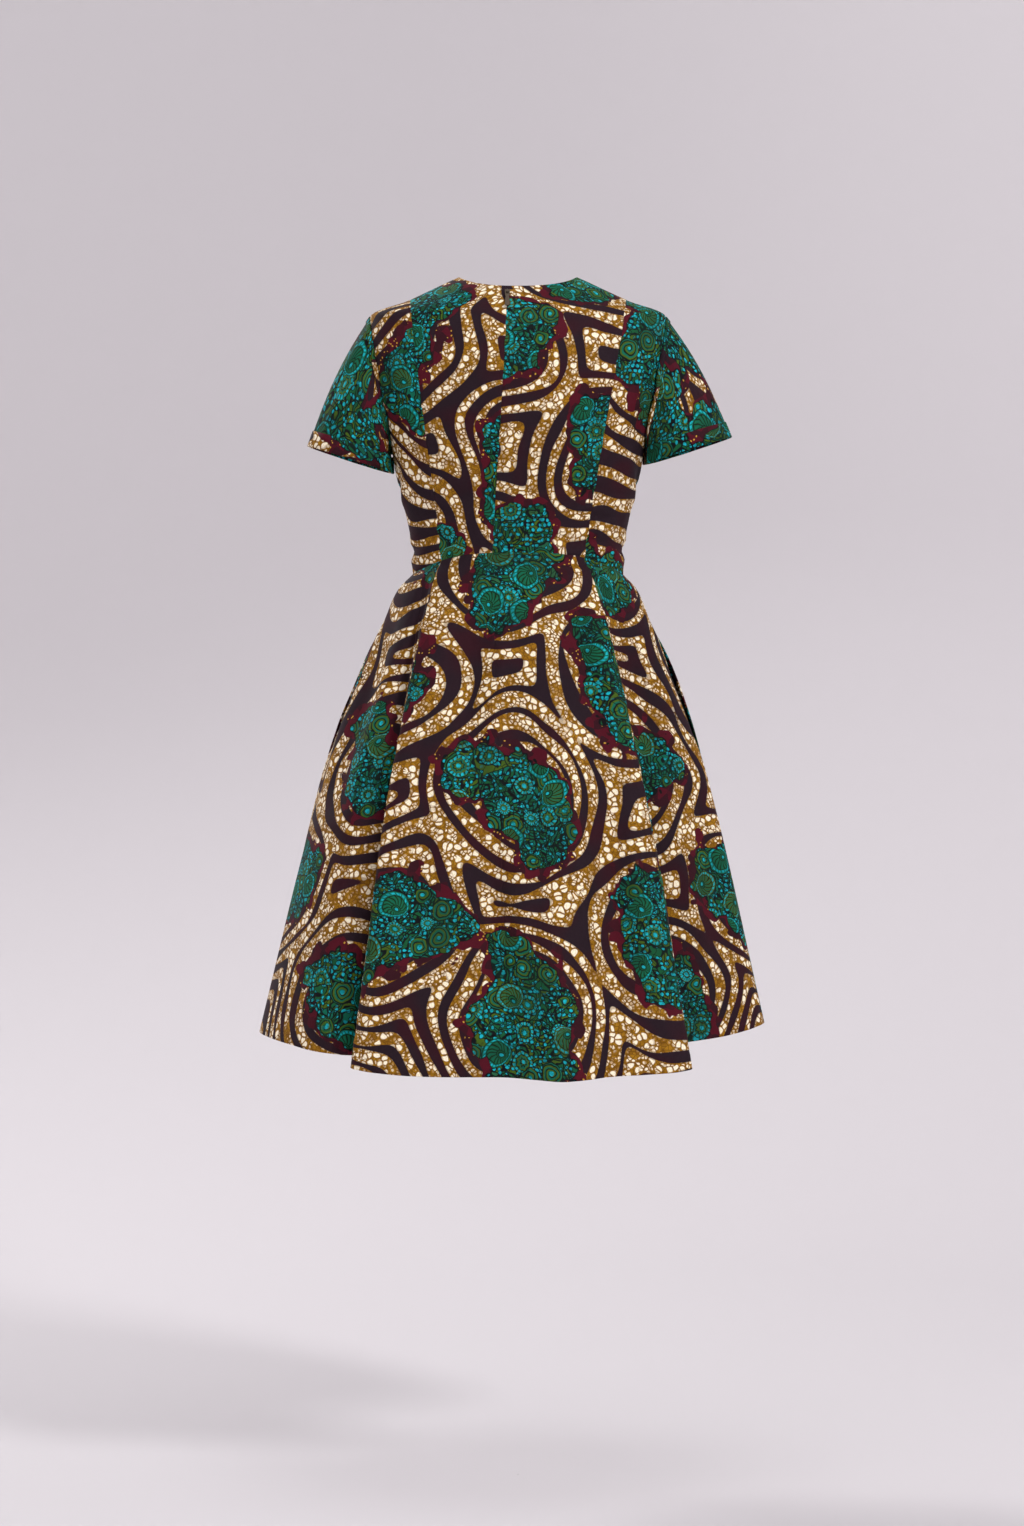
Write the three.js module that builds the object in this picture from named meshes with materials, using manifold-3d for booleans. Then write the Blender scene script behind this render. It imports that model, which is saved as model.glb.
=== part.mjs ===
// Knee-length fit-and-flare dress in printed cotton: fitted princess-seamed bodice, short set-in
// sleeves, waist seam, flared seven-panel skirt with deep folds, side-seam pockets, back zip.
// Millimetres, +Z up, back of the dress towards +Y, wearer's left towards +X.
// The origin is the centre of the neck at the height of the high points of the shoulders.
import * as THREE from 'three';
import { mergeVertices } from 'three/addons/utils/BufferGeometryUtils.js';
import Module from 'manifold-3d';

// ---- driving sizes ----
const WALL = 1.5;              // modelled thickness of the cloth
const SEAM = 0.25;             // each panel stops this far short of its seam line
const NECK_HALF = 72;          // half width of the neck opening
const NECK_DROP_BACK = 16, NECK_DROP_FRONT = 72;
const PRINCESS_TOP = { x: 133, z: -29 };   // where the princess seams meet the shoulder seam
const SHOULDER_TIP_Z = -49, UNDERARM_Z = -212;
const WAIST_BACK_Z = -342, WAIST_FRONT_Z = -352, WAIST_SIDE_Z = -368;
const YOKE_Z = -58;            // rows above this level fan out from the shoulder seam
const CUFF = {
  left: { outer: [259, 4, -210], inner: [155.5, 2, -243], depth: 52 },
  right: { outer: [-263, 6, -199], inner: [-157, 2, -232], depth: 52 },
};
const CAP_FULLNESS = 7;        // roundness of the sleeve head
const POCKET = { top: 0.115, bottom: 0.60, mouthTop: 0.14, mouthBottom: 0.40, gape: 6, depth: 92, hollow: 18, wall: 1 };
const ZIP = { bottom: -540, tapeWidth: 12, tapeWall: 0.8, inset: 0.5 };
const SLIDER = { width: 6.2, length: 9, plate: 1.4, strapWidth: 1.4, strapLength: 6, gap: 2.0, strapWall: 0.8, lift: 0.5, z: -25 };
const PULL = { bar: 1.0, inner: 3.8, outer: 5.4, eye: 5, length: 24, wall: 1.0 };

// Horizontal sections of the bodice: half width, back, front and side-seam Y, squareness of the oval.
const SECTIONS = [
  { z: 0, half: 72, back: 26, front: -40, side: -8, square: 2.1 },
  { z: -5, half: 83, back: 37, front: -45, side: -8, square: 2.1 },
  { z: -16, half: 106, back: 52, front: -53, side: -8, square: 2.15 },
  { z: -29, half: 134, back: 64, front: -60, side: -8, square: 2.2 },
  { z: -49, half: 182, back: 77, front: -70, side: -7, square: 2.25 },
  { z: -80, half: 185, back: 90, front: -84, side: -6, square: 2.3 },
  { z: -120, half: 183, back: 98, front: -104, side: -4, square: 2.3 },
  { z: -160, half: 174, back: 99, front: -120, side: -2, square: 2.3 },
  { z: -195, half: 162, back: 96, front: -127, side: 0, square: 2.25 },
  { z: -212, half: 157, back: 94, front: -126, side: 0, square: 2.2 },
  { z: -244, half: 149.5, back: 89, front: -120, side: 0, square: 2.15 },
  { z: -263, half: 146, back: 86, front: -114, side: 0, square: 2.1 },
  { z: -300, half: 137, back: 81, front: -104, side: 0, square: 2.05 },
  { z: -335, half: 131, back: 79, front: -99, side: 0, square: 2.0 },
  { z: -370, half: 130, back: 80, front: -98, side: 0, square: 2.0 },
];
// How far round the section (degrees from centre back or centre front) the armhole edge lies.
const ARMHOLE = [
  { z: -49, back: 90, front: 90 }, { z: -53, back: 85.5, front: 85 }, { z: -58, back: 81, front: 79.5 },
  { z: -72, back: 75.5, front: 73 }, { z: -98, back: 70.5, front: 66.5 }, { z: -130, back: 67.5, front: 62.5 },
  { z: -160, back: 68, front: 63 }, { z: -186, back: 72, front: 68 }, { z: -203, back: 79, front: 77 },
  { z: -209.5, back: 85, front: 84.5 }, { z: -212, back: 90, front: 90 },
];
// Seam lines of the bodice: distance from the middle plane at each height.
const SEAMS = [
  { z: -29, centreBack: 13, backLeft: 133, backRight: 133, front: 133 },
  { z: -90, centreBack: 16, backLeft: 126, backRight: 124, front: 118 },
  { z: -180, centreBack: 21, backLeft: 115, backRight: 108, front: 98 },
  { z: -270, centreBack: 27, backLeft: 103, backRight: 93, front: 90 },
  { z: -356, centreBack: 32, backLeft: 93.5, backRight: 80, front: 88.6 },
];
// The skirt, once round from the centre back seam: angle of the fold line at the waist
// (0 at the back, 90 at the wearer's left side) and where the same fold line meets the hem.
const HEM = [
  { seam: 'centre_back', turn: 14.25, x: 12, y: 240, z: -966 },
  { turn: 22, x: 55, y: 237, z: -966 }, { turn: 30, x: 97, y: 235, z: -966 },
  { turn: 38, x: 150, y: 238, z: -963 }, { turn: 44, x: 186, y: 231, z: -959 },
  { seam: 'back_left', turn: 46, x: 199, y: 217, z: -957 },
  { turn: 48.5, x: 190, y: 197, z: -953 }, { turn: 51, x: 173, y: 180, z: -950 },
  { turn: 54, x: 180, y: 166, z: -948 }, { turn: 58, x: 207, y: 177, z: -946 },
  { turn: 65, x: 240, y: 169, z: -943 }, { turn: 73, x: 276, y: 130, z: -938 },
  { turn: 82, x: 306, y: 70, z: -935 },
  { seam: 'side_left', turn: 90, x: 321, y: 0, z: -935 },
  { turn: 98, x: 312, y: -70, z: -936 }, { turn: 107, x: 286, y: -130, z: -938 },
  { turn: 116, x: 246, y: -172, z: -942 }, { turn: 123, x: 212, y: -182, z: -945 },
  { turn: 127, x: 183, y: -172, z: -948 }, { turn: 130, x: 172, y: -186, z: -951 },
  { turn: 134, x: 190, y: -212, z: -955 },
  { seam: 'front_left', turn: 137, x: 205, y: -232, z: -958 },
  { turn: 142, x: 178, y: -247, z: -960 }, { turn: 150, x: 132, y: -251, z: -963 },
  { turn: 160, x: 84, y: -263, z: -965 }, { turn: 170, x: 40, y: -272, z: -966 },
  { turn: 180, x: 0, y: -262, z: -965 }, { turn: 190, x: -40, y: -254, z: -964 },
  { turn: 200, x: -80, y: -262, z: -964 }, { turn: 209, x: -120, y: -266, z: -963 },
  { turn: 217, x: -164, y: -250, z: -960 },
  { seam: 'front_right', turn: 223, x: -190, y: -230, z: -957 },
  { turn: 226, x: -178, y: -208, z: -954 }, { turn: 230, x: -158, y: -186, z: -950 },
  { turn: 234, x: -172, y: -167, z: -946 }, { turn: 239, x: -206, y: -170, z: -942 },
  { turn: 246, x: -240, y: -152, z: -938 }, { turn: 254, x: -272, y: -112, z: -933 },
  { turn: 262, x: -296, y: -58, z: -928 },
  { seam: 'side_right', turn: 270, x: -306, y: -5, z: -925 },
  { turn: 279, x: -287, y: 32, z: -929 }, { turn: 288, x: -252, y: 62, z: -935 },
  { turn: 298, x: -205, y: 86, z: -940 }, { turn: 305, x: -166, y: 101, z: -945 },
  { turn: 310, x: -150, y: 124, z: -949 }, { turn: 315, x: -163, y: 162, z: -953 },
  { turn: 319, x: -190, y: 200, z: -956 },
  { seam: 'back_right', turn: 322, x: -207, y: 220, z: -958 },
  { turn: 327, x: -192, y: 233, z: -960 }, { turn: 334, x: -150, y: 238, z: -963 },
  { turn: 342, x: -108, y: 243, z: -965 }, { turn: 350, x: -82, y: 258, z: -967 },
  { turn: 357, x: -52, y: 270, z: -968 }, { turn: 365, x: -22, y: 258, z: -967 },
  { seam: 'end', turn: 374.25, x: 12, y: 240, z: -966 },
];
// How much of its spread the skirt has reached at each share of its drop.
const SPREAD = [
  { drop: 0, side: 0, middle: 0 }, { drop: 0.03, side: 0.086, middle: 0.05 },
  { drop: 0.1, side: 0.18, middle: 0.15 }, { drop: 0.16, side: 0.26, middle: 0.225 },
  { drop: 0.25, side: 0.37, middle: 0.33 }, { drop: 0.35, side: 0.49, middle: 0.43 },
  { drop: 0.42, side: 0.565, middle: 0.50 }, { drop: 0.49, side: 0.622, middle: 0.565 },
  { drop: 0.68, side: 0.77, middle: 0.735 }, { drop: 0.84, side: 0.885, middle: 0.87 },
  { drop: 1, side: 1, middle: 1 },
];

// ---- small tools ----
const rad = THREE.MathUtils.degToRad, lerp = THREE.MathUtils.lerp, smooth = THREE.MathUtils.smoothstep;
const V = (x, y, z) => new THREE.Vector3(x, y, z);

// A curve through a table that never overshoots its rows (monotone cubic), read at any key.
function track(rows, key, column) {
  const k = rows.map((r) => r[key]), f = rows.map((r) => r[column]), n = k.length;
  if (k[0] > k[n - 1]) { k.reverse(); f.reverse(); }
  const step = k.slice(1).map((b, i) => b - k[i]), slope = step.map((h, i) => (f[i + 1] - f[i]) / h);
  const m = f.map((_, i) => {
    if (i === 0) return slope[0];
    if (i === n - 1) return slope[n - 2];
    if (slope[i - 1] * slope[i] <= 0) return 0;
    const a = 2 * step[i] + step[i - 1], b = step[i] + 2 * step[i - 1];
    return (a + b) / (a / slope[i - 1] + b / slope[i]);
  });
  return (at) => {
    const q = Math.min(Math.max(at, k[0]), k[n - 1]);
    let i = 0;
    while (i < n - 2 && q > k[i + 1]) i++;
    const s = (q - k[i]) / step[i], s2 = s * s, s3 = s2 * s;
    return f[i] * (2 * s3 - 3 * s2 + 1) + m[i] * step[i] * (s3 - 2 * s2 + s)
      + f[i + 1] * (3 * s2 - 2 * s3) + m[i + 1] * step[i] * (s3 - s2);
  };
}

// A closed thin body from two matching grids of points, outer and inner.
function body(name, outer, inner, material, wrap = false) {
  const rows = outer.length, cols = outer[0].length, points = [], faces = [];
  for (const grid of [outer, inner]) for (const row of grid) for (const p of row) points.push(p.x, p.y, p.z);
  const at = (layer, i, j) => layer * rows * cols + i * cols + (j % cols);
  const quad = (a, b, c, d) => faces.push(a, b, c, a, c, d);
  const spans = wrap ? cols : cols - 1;
  for (let i = 0; i < rows - 1; i++) for (let j = 0; j < spans; j++) {
    quad(at(0, i, j), at(0, i, j + 1), at(0, i + 1, j + 1), at(0, i + 1, j));
    quad(at(1, i, j), at(1, i + 1, j), at(1, i + 1, j + 1), at(1, i, j + 1));
  }
  for (let j = 0; j < spans; j++) {
    quad(at(0, 0, j), at(1, 0, j), at(1, 0, j + 1), at(0, 0, j + 1));
    quad(at(0, rows - 1, j), at(0, rows - 1, j + 1), at(1, rows - 1, j + 1), at(1, rows - 1, j));
  }
  if (!wrap) for (let i = 0; i < rows - 1; i++) {
    quad(at(0, i, 0), at(0, i + 1, 0), at(1, i + 1, 0), at(1, i, 0));
    quad(at(0, i, cols - 1), at(1, i, cols - 1), at(1, i + 1, cols - 1), at(0, i + 1, cols - 1));
  }
  let volume = 0;
  const a = V(), b = V(), c = V();
  for (let f = 0; f < faces.length; f += 3) {
    a.fromArray(points, faces[f] * 3); b.fromArray(points, faces[f + 1] * 3); c.fromArray(points, faces[f + 2] * 3);
    volume += a.dot(b.cross(c));
  }
  if (volume < 0) for (let f = 0; f < faces.length; f += 3) [faces[f + 1], faces[f + 2]] = [faces[f + 2], faces[f + 1]];
  const geometry = new THREE.BufferGeometry();
  geometry.setAttribute('position', new THREE.Float32BufferAttribute(points, 3));
  geometry.setIndex(faces);
  geometry.computeVertexNormals();
  const mesh = new THREE.Mesh(geometry, material);
  mesh.name = name;
  return mesh;
}

// ---- the bodice form ----
const section = {};
for (const column of ['half', 'back', 'front', 'side', 'square']) section[column] = track(SECTIONS, 'z', column);
const seamX = {};
for (const column of ['centreBack', 'backLeft', 'backRight', 'front']) seamX[column] = track(SEAMS, 'z', column);
const armTurn = { back: track(ARMHOLE, 'z', 'back'), front: track(ARMHOLE, 'z', 'front') };

// A point of the bodice at an angle round its section; 0 is centre back, 180 centre front.
function ring(turn, z) {
  const power = 2 / section.square(z), s = Math.sin(turn), c = Math.cos(turn);
  const depth = c >= 0 ? section.back(z) - section.side(z) : section.side(z) - section.front(z);
  return V(section.half(z) * Math.sign(s) * Math.abs(s) ** power, section.side(z) + depth * Math.sign(c) * Math.abs(c) ** power, z);
}
function ringNormal(turn, z) {
  const e = 0.02, up = Math.min(z + 1.5, 0), down = Math.max(z - 1.5, -370);
  const across = ring(turn + e, z).sub(ring(turn - e, z)), along = ring(turn, up).sub(ring(turn, down));
  return along.cross(across).normalize();
}
// The angle at which the section is a given distance from the middle plane.
const turnAt = (x, z) => Math.asin(Math.min(1, (Math.abs(x) / section.half(z)) ** (section.square(z) / 2)));
// The angle that leaves a small gap beside the shoulder or side seam.
const edgeTurn = (z, depth) => Math.PI / 2 - (SEAM / depth) ** (section.square(z) / 2);
function waistZ(turn) {
  const middle = Math.cos(turn) >= 0 ? WAIST_BACK_Z : WAIST_FRONT_Z;
  return lerp(middle, WAIST_SIDE_Z, Math.abs(Math.sin(turn)) ** 3);
}
// Height of the neck and shoulder edge over a point that far from the middle plane.
const shoulderZ = track([...SECTIONS].filter((r) => r.z >= SHOULDER_TIP_Z).reverse(), 'half', 'z');
function topZ(x, drop) {
  const share = Math.abs(x) / NECK_HALF;
  return share < 1 ? -drop * (1 - share ** 2.4) ** (1 / 1.7) : shoulderZ(Math.abs(x));
}
const skin = (turn, z, wall, out = 0) => {
  const n = ringNormal(turn, z), p = ring(turn, z);
  return { outer: p.clone().addScaledVector(n, out), inner: p.clone().addScaledVector(n, out - wall) };
};
function grids(rows, cols, point) {
  const outer = [], inner = [];
  for (let i = 0; i <= rows; i++) {
    outer.push([]); inner.push([]);
    for (let j = 0; j <= cols; j++) {
      const p = point(i / rows, j / cols, i, j);
      outer[i].push(p.outer); inner[i].push(p.inner);
    }
  }
  return [outer, inner];
}
// A middle panel: neck and inner shoulder at the top, waist at the bottom, between two seam lines.
function middlePanel(name, fromX, toX, front, cols) {
  const drop = front ? NECK_DROP_FRONT : NECK_DROP_BACK;
  const rows = 12;
  return body(name, ...grids(rows, cols, (v, f) => {
    const xTop = lerp(fromX(0), toX(0), f), top = topZ(xTop, drop);
    const bottomTurn = turnAt(lerp(fromX(-350), toX(-350), f), -350);
    const bottom = waistZ(front ? Math.PI - bottomTurn : bottomTurn) + SEAM;
    const z = lerp(top, bottom, v ** 1.35), x = lerp(fromX(z), toX(z), f);
    const depth = Math.abs((front ? section.front(z) : section.back(z)) - section.side(z));
    const turn = Math.min(turnAt(x, z), edgeTurn(z, depth));
    return skin(Math.sign(x || 1) * (front ? Math.PI - turn : turn), z, WALL);
  }), cloth);
}
// Heights of the rows of the panels beside the armholes.
const LEVELS = ARMHOLE.slice(3).map((r) => r.z).concat([-228, -252, -282, -316]);
function sidePanel(name, side, front, line, cols) {
  const edge = front ? armTurn.front : armTurn.back;
  const rows = 3 + LEVELS.length + 1;
  return body(name, ...grids(rows, cols, (v, c, i) => {
    const topHere = lerp(PRINCESS_TOP.z, SHOULDER_TIP_Z, c);
    const turnHere = (z) => {
      const depth = Math.abs((front ? section.front(z) : section.back(z)) - section.side(z));
      const seam = Math.min(turnAt(seamX[line](z) + SEAM, z), edgeTurn(z, depth));
      const far = z > SHOULDER_TIP_Z || z < UNDERARM_Z ? edgeTurn(z, depth) : Math.min(rad(edge(z)), edgeTurn(z, depth));
      const reach = z > SHOULDER_TIP_Z ? (PRINCESS_TOP.z - z) / (PRINCESS_TOP.z - SHOULDER_TIP_Z) : 1;
      return lerp(seam, Math.max(far, seam + 0.004), reach > 1e-6 ? Math.min(1, c / reach) : 1);
    };
    let z;
    if (i <= 3) z = lerp(topHere - 0.4 * (1 - c), YOKE_Z, i / 3);
    else if (i < rows) z = LEVELS[i - 4];
    else z = waistZ(front ? Math.PI - turnHere(-350) : turnHere(-350)) + SEAM;
    const turn = turnHere(z);
    return skin(side * (front ? Math.PI - turn : turn), z, WALL);
  }), cloth);
}

// ---- the sleeves ----
// One point of the armhole edge with the direction out of the cloth and the way off its edge.
function armholePoint(side, front, z) {
  const turn = rad(front ? 180 - armTurn.front(z) : armTurn.back(z));
  const e = 0.03, into = front ? 1 : -1;
  const p = ring(turn, z), n = ringNormal(turn, z);
  const tip = z > SHOULDER_TIP_Z - 0.5, base = z < UNDERARM_Z + 0.5;
  const cloth = ring(turn + into * e, z).sub(p);
  if (tip) cloth.copy(ring(turn, z + 2).sub(p));
  if (base) cloth.copy(ring(turn, z - 2).sub(p));
  cloth.addScaledVector(n, -cloth.dot(n)).normalize();
  for (const w of [p, n, cloth]) w.x *= side;
  return { p, n, off: cloth.negate() };
}
function sleeve(name, side, cuff, rows) {
  const heights = ARMHOLE.map((r) => r.z), loop = [];
  for (const z of heights) loop.push(armholePoint(side, false, z));
  for (const z of [...heights].reverse().slice(1, -1)) loop.push(armholePoint(side, true, z));
  const count = loop.length, half = heights.length - 1;
  const lengths = [0];
  for (let j = 1; j <= count; j++) lengths.push(lengths[j - 1] + loop[j % count].p.distanceTo(loop[j - 1].p));
  const outer = V(...cuff.outer), inner = V(...cuff.inner);
  const middle = outer.clone().add(inner).multiplyScalar(0.5), reach = outer.clone().sub(middle);
  const rail = loop.map((a, j) => {
    const back = j <= half;
    const share = back ? lengths[j] / lengths[half] : 1 + (lengths[j] - lengths[half]) / (lengths[count] - lengths[half]);
    const angle = share * Math.PI, under = smooth(-Math.cos(angle), -0.25, 0.5);
    const start = a.p.clone().addScaledVector(a.off, 0.5).addScaledVector(a.n, 1.9 * under);
    const end = middle.clone().addScaledVector(reach, Math.cos(angle)).add(V(0, cuff.depth * Math.sin(angle), 0));
    return { start, end, angle, n: a.n };
  });
  const crown = (r, k) => {
    const lift = CAP_FULLNESS * Math.sin(Math.PI * Math.min(1, k * 1.15)) * Math.max(0, Math.cos(r.angle / 2)) ** 2;
    const round = 5 * Math.sin(Math.PI * k) * Math.abs(Math.sin(r.angle));
    return r.start.clone().lerp(r.end, k).add(V(side * lift * 0.85, Math.sign(Math.sin(r.angle)) * round, lift * 0.5));
  };
  const grid = [];
  for (let i = 0; i <= rows; i++) grid.push(rail.map((r) => crown(r, i / rows)));
  const skinIn = grid.map((row, i) => row.map((p, j) => {
    const a = grid[Math.min(i + 1, rows)][j].clone().sub(grid[Math.max(i - 1, 0)][j]);
    const b = row[(j + 1) % count].clone().sub(row[(j + count - 1) % count]);
    const n = b.cross(a).multiplyScalar(side).normalize();
    if (i === 0) n.lerp(rail[j].n, smooth(n.dot(rail[j].n), 0.2, 0.45)).normalize();
    return p.clone().addScaledVector(n, -WALL);
  }));
  return body(name, grid, skinIn, cloth, true);
}

// ---- the skirt form ----
const hemAt = [0];
for (let i = 1; i < HEM.length; i++) {
  hemAt.push(hemAt[i - 1] + Math.hypot(HEM[i].x - HEM[i - 1].x, HEM[i].y - HEM[i - 1].y));
}
const HEM_LENGTH = hemAt[HEM.length - 1];
const hemTurn = track(HEM.map((r, i) => ({ at: hemAt[i], turn: r.turn })), 'at', 'turn');
const spread = { side: track(SPREAD, 'drop', 'side'), middle: track(SPREAD, 'drop', 'middle') };
const seamAt = {};
HEM.forEach((r, i) => { if (r.seam) seamAt[r.seam] = hemAt[i]; });

// A point of the hem edge, smoothly through the rows of the table.
function hemPoint(at) {
  const n = HEM.length - 1, h = ((at % HEM_LENGTH) + HEM_LENGTH) % HEM_LENGTH;
  let i = 0;
  while (i < n - 1 && h > hemAt[i + 1]) i++;
  const knot = (q) => hemAt[((q % n) + n) % n] + Math.floor(q / n) * HEM_LENGTH;
  const value = (q, c) => HEM[((q % n) + n) % n][c];
  const t0 = knot(i - 1), t1 = knot(i), t2 = knot(i + 1), t3 = knot(i + 2), s = (h - t1) / (t2 - t1);
  const curve = (c) => {
    const p0 = value(i - 1, c), p1 = value(i, c), p2 = value(i + 1, c), p3 = value(i + 2, c);
    const m1 = ((p1 - p0) / (t1 - t0) * (t2 - t1) + (p2 - p1) / (t2 - t1) * (t1 - t0)) / (t2 - t0) * (t2 - t1);
    const m2 = ((p2 - p1) / (t2 - t1) * (t3 - t2) + (p3 - p2) / (t3 - t2) * (t2 - t1)) / (t3 - t1) * (t2 - t1);
    return p1 * (2 * s ** 3 - 3 * s ** 2 + 1) + m1 * (s ** 3 - 2 * s ** 2 + s) + p2 * (3 * s ** 2 - 2 * s ** 3) + m2 * (s ** 3 - s ** 2);
  };
  return V(curve('x'), curve('y'), curve('z'));
}
// How open the pocket mouth is at a share of the skirt's drop.
function mouth(v) {
  const s = (v - POCKET.mouthTop) / (POCKET.mouthBottom - POCKET.mouthTop);
  return s > 0 && s < 1 ? Math.sin(Math.PI * s) ** 0.8 : 0;
}
function skirtPoint(at, v, pushed = true) {
  const turn = rad(hemTurn(((at % HEM_LENGTH) + HEM_LENGTH) % HEM_LENGTH));
  const top = ring(turn, waistZ(turn));
  top.z -= SEAM;
  const hem = hemPoint(at), share = lerp(spread.middle(v), spread.side(v), Math.sin(turn) ** 2);
  const p = V(lerp(top.x, hem.x, share), lerp(top.y, hem.y, share), lerp(top.z, hem.z, v));
  for (const [seam, side] of [['side_left', 1], ['side_right', -1]]) {
    const ahead = side * (at - seamAt[seam]);
    if (pushed && ahead > -0.5 * POCKET.gape * mouth(v) && ahead < 90) p.x += side * 4.5 * mouth(v) * (1 - smooth(ahead, 0, 90));
  }
  return p;
}
function skirtNormal(at, v) {
  if (v < 0.001) {
    const turn = rad(hemTurn(((at % HEM_LENGTH) + HEM_LENGTH) % HEM_LENGTH));
    return ringNormal(turn, waistZ(turn));
  }
  const across = skirtPoint(at + 1, v, false).sub(skirtPoint(at - 1, v, false));
  const along = skirtPoint(at, Math.min(v + 0.01, 1), false).sub(skirtPoint(at, Math.max(v - 0.01, 0), false));
  return across.cross(along).normalize();
}
const pace = (at, v) => skirtPoint(at + 1, v, false).distanceTo(skirtPoint(at - 1, v, false)) / 2;
const DROPS = [0, 0.035, 0.09, 0.16, 0.25, 0.35, 0.47, 0.62, 0.8, 1];
function skirtPanel(name, from, to, cols, startMouth, endMouth) {
  return body(name, ...grids(DROPS.length - 1, cols, (_, u, i) => {
    const v = DROPS[i];
    const a = from + (SEAM + (startMouth ? POCKET.gape * mouth(v) : 0)) / pace(from, v);
    const b = to - (SEAM + (endMouth ? POCKET.gape * mouth(v) : 0)) / pace(to, v);
    const at = lerp(a, b, u), p = skirtPoint(at, v);
    return { outer: p, inner: p.clone().addScaledVector(skirtNormal(at, v), -WALL) };
  }), cloth);
}

// ---- the pockets: a flat bag lying behind the front panel, open along the side seam ----
function pocketBag(name, seam, side) {
  const home = seamAt[seam], rows = 9, cols = 16;
  const inside = (at, v, deep, outer) => {
    const n = skirtNormal(at, v);
    return skirtPoint(at, v, outer).addScaledVector(n, -deep);
  };
  const path = (i) => {
    const s = i / rows, v = lerp(POCKET.top, POCKET.bottom, s);
    const reach = POCKET.depth * (0.30 + 0.70 * Math.sin(Math.PI * Math.min(1, 0.12 + s * 0.95)) ** 0.7);
    const hollow = 1.6 + (POCKET.hollow - 1.6) * Math.sin(Math.PI * Math.min(1, 0.04 + s * 0.93)) ** 0.6;
    const near = WALL + 1.8, open = POCKET.gape * mouth(v);
    const step = (mm) => home + side * mm / pace(home, v);
    const line = [];
    for (let j = 0; j <= cols; j++) {
      const q = j / cols;
      let along, deep;
      if (q < 0.44) { along = lerp(-open - 5, reach - hollow / 2, (q / 0.44) ** 1.8); deep = near + hollow + POCKET.wall; }
      else if (q > 0.56) { along = lerp(reach - hollow / 2, open + 1.5, (q - 0.56) / 0.44); deep = near; }
      else {
        const a = (q - 0.44) / 0.12 * Math.PI, r = (hollow + POCKET.wall) / 2;
        along = reach - hollow / 2 + r * Math.sin(a); deep = near + r + r * Math.cos(a);
      }
      // The back edge of the bag comes forward to the seam allowance of the back panel.
      if (q < 0.44) deep = lerp(near + POCKET.wall, deep, smooth(along, -open - 4.5, 2.5 - open));
      line.push(inside(step(along), v, deep, q > 0.5));
    }
    return line;
  };
  const grid = [];
  for (let i = 0; i <= rows; i++) grid.push(path(i));
  const other = grid.map((row, i) => row.map((p, j) => {
    const a = grid[Math.min(i + 1, rows)][j].clone().sub(grid[Math.max(i - 1, 0)][j]);
    const b = row[Math.min(j + 1, cols)].clone().sub(row[Math.max(j - 1, 0)]);
    return p.clone().addScaledVector(b.cross(a).normalize(), side * POCKET.wall);
  }));
  return body(name, grid, other, pocketing);
}

// ---- the zip behind the centre back seam ----
const zipLine = (z) => z > WAIST_BACK_Z ? null : (z - WAIST_BACK_Z) / (-966 - WAIST_BACK_Z);
function zipTape(name, side) {
  const heights = [-19, -27, -38, -52, -70, -95, -125, -160, -200, -240, -280, -310, -332, -340, -347, -356, -370, -392, -420, -460, -500, ZIP.bottom];
  return body(name, ...grids(heights.length - 1, 1, (_, u, i) => {
    const z = heights[i], away = side * lerp(0.3, ZIP.tapeWidth, u), deep = WALL + ZIP.inset + 0.25 * u + 2.2 * Math.exp(-(((z + 344) / 13) ** 2));
    if (z > WAIST_BACK_Z) {
      const x = seamX.centreBack(z) + away, turn = Math.sign(x) * turnAt(x, z);
      return skin(turn, z, ZIP.tapeWall, -deep);
    }
    const v = zipLine(z), home = seamAt.centre_back, at = home + away / pace(home, Math.max(v, 0.01));
    const p = skirtPoint(at, v), n = skirtNormal(at, Math.max(v, 0.002));
    return { outer: p.clone().addScaledVector(n, -deep), inner: p.clone().addScaledVector(n, -deep - ZIP.tapeWall) };
  }), tape);
}

// ---- the slider at the top of the zip and its pull tab, which swings on the slider's strap ----
const wasm = await Module();
wasm.setup();
function joined(geometries) {
  const solids = geometries.map((g) => {
    const bare = g.clone();
    bare.deleteAttribute('normal'); bare.deleteAttribute('uv');
    const m = mergeVertices(bare);
    return new wasm.Manifold(new wasm.Mesh({
      numProp: 3, vertProperties: m.attributes.position.array, triVerts: new Uint32Array(m.index.array),
    }));
  });
  const made = solids.reduce((a, b) => a.add(b)).getMesh(), geometry = new THREE.BufferGeometry();
  geometry.setAttribute('position', new THREE.BufferAttribute(made.vertProperties, 3));
  geometry.setIndex(new THREE.BufferAttribute(made.triVerts, 1));
  geometry.computeVertexNormals();
  return geometry;
}
// Local axes of both pieces: y out of the cloth, z up along the seam, origin at the pull's hinge.
const HINGE_LIFT = SLIDER.lift + SLIDER.plate + SLIDER.gap / 2;
function sliderShape() {
  const s = SLIDER, low = -s.gap / 2, high = s.gap / 2, end = s.strapLength / 2;
  const plate = new THREE.BoxGeometry(s.width, s.plate, s.length).translate(0, low - s.plate / 2, 0);
  const arch = new THREE.Shape([[-end, low - 0.4], [end, low - 0.4], [end, high], [end - 1, high + s.strapWall],
    [1 - end, high + s.strapWall], [-end, high]].map((p) => new THREE.Vector2(...p)));
  arch.holes.push(new THREE.Path([[s.strapWall - end, low], [s.strapWall - end, high], [end - s.strapWall, high],
    [end - s.strapWall, low]].map((p) => new THREE.Vector2(...p))));
  const strap = new THREE.ExtrudeGeometry(arch, { depth: s.strapWidth, bevelEnabled: false });
  strap.translate(0, 0, -s.strapWidth / 2).applyMatrix4(new THREE.Matrix4().makeBasis(V(0, 0, 1), V(0, 1, 0), V(-1, 0, 0)));
  return joined([plate, strap]);
}
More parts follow.
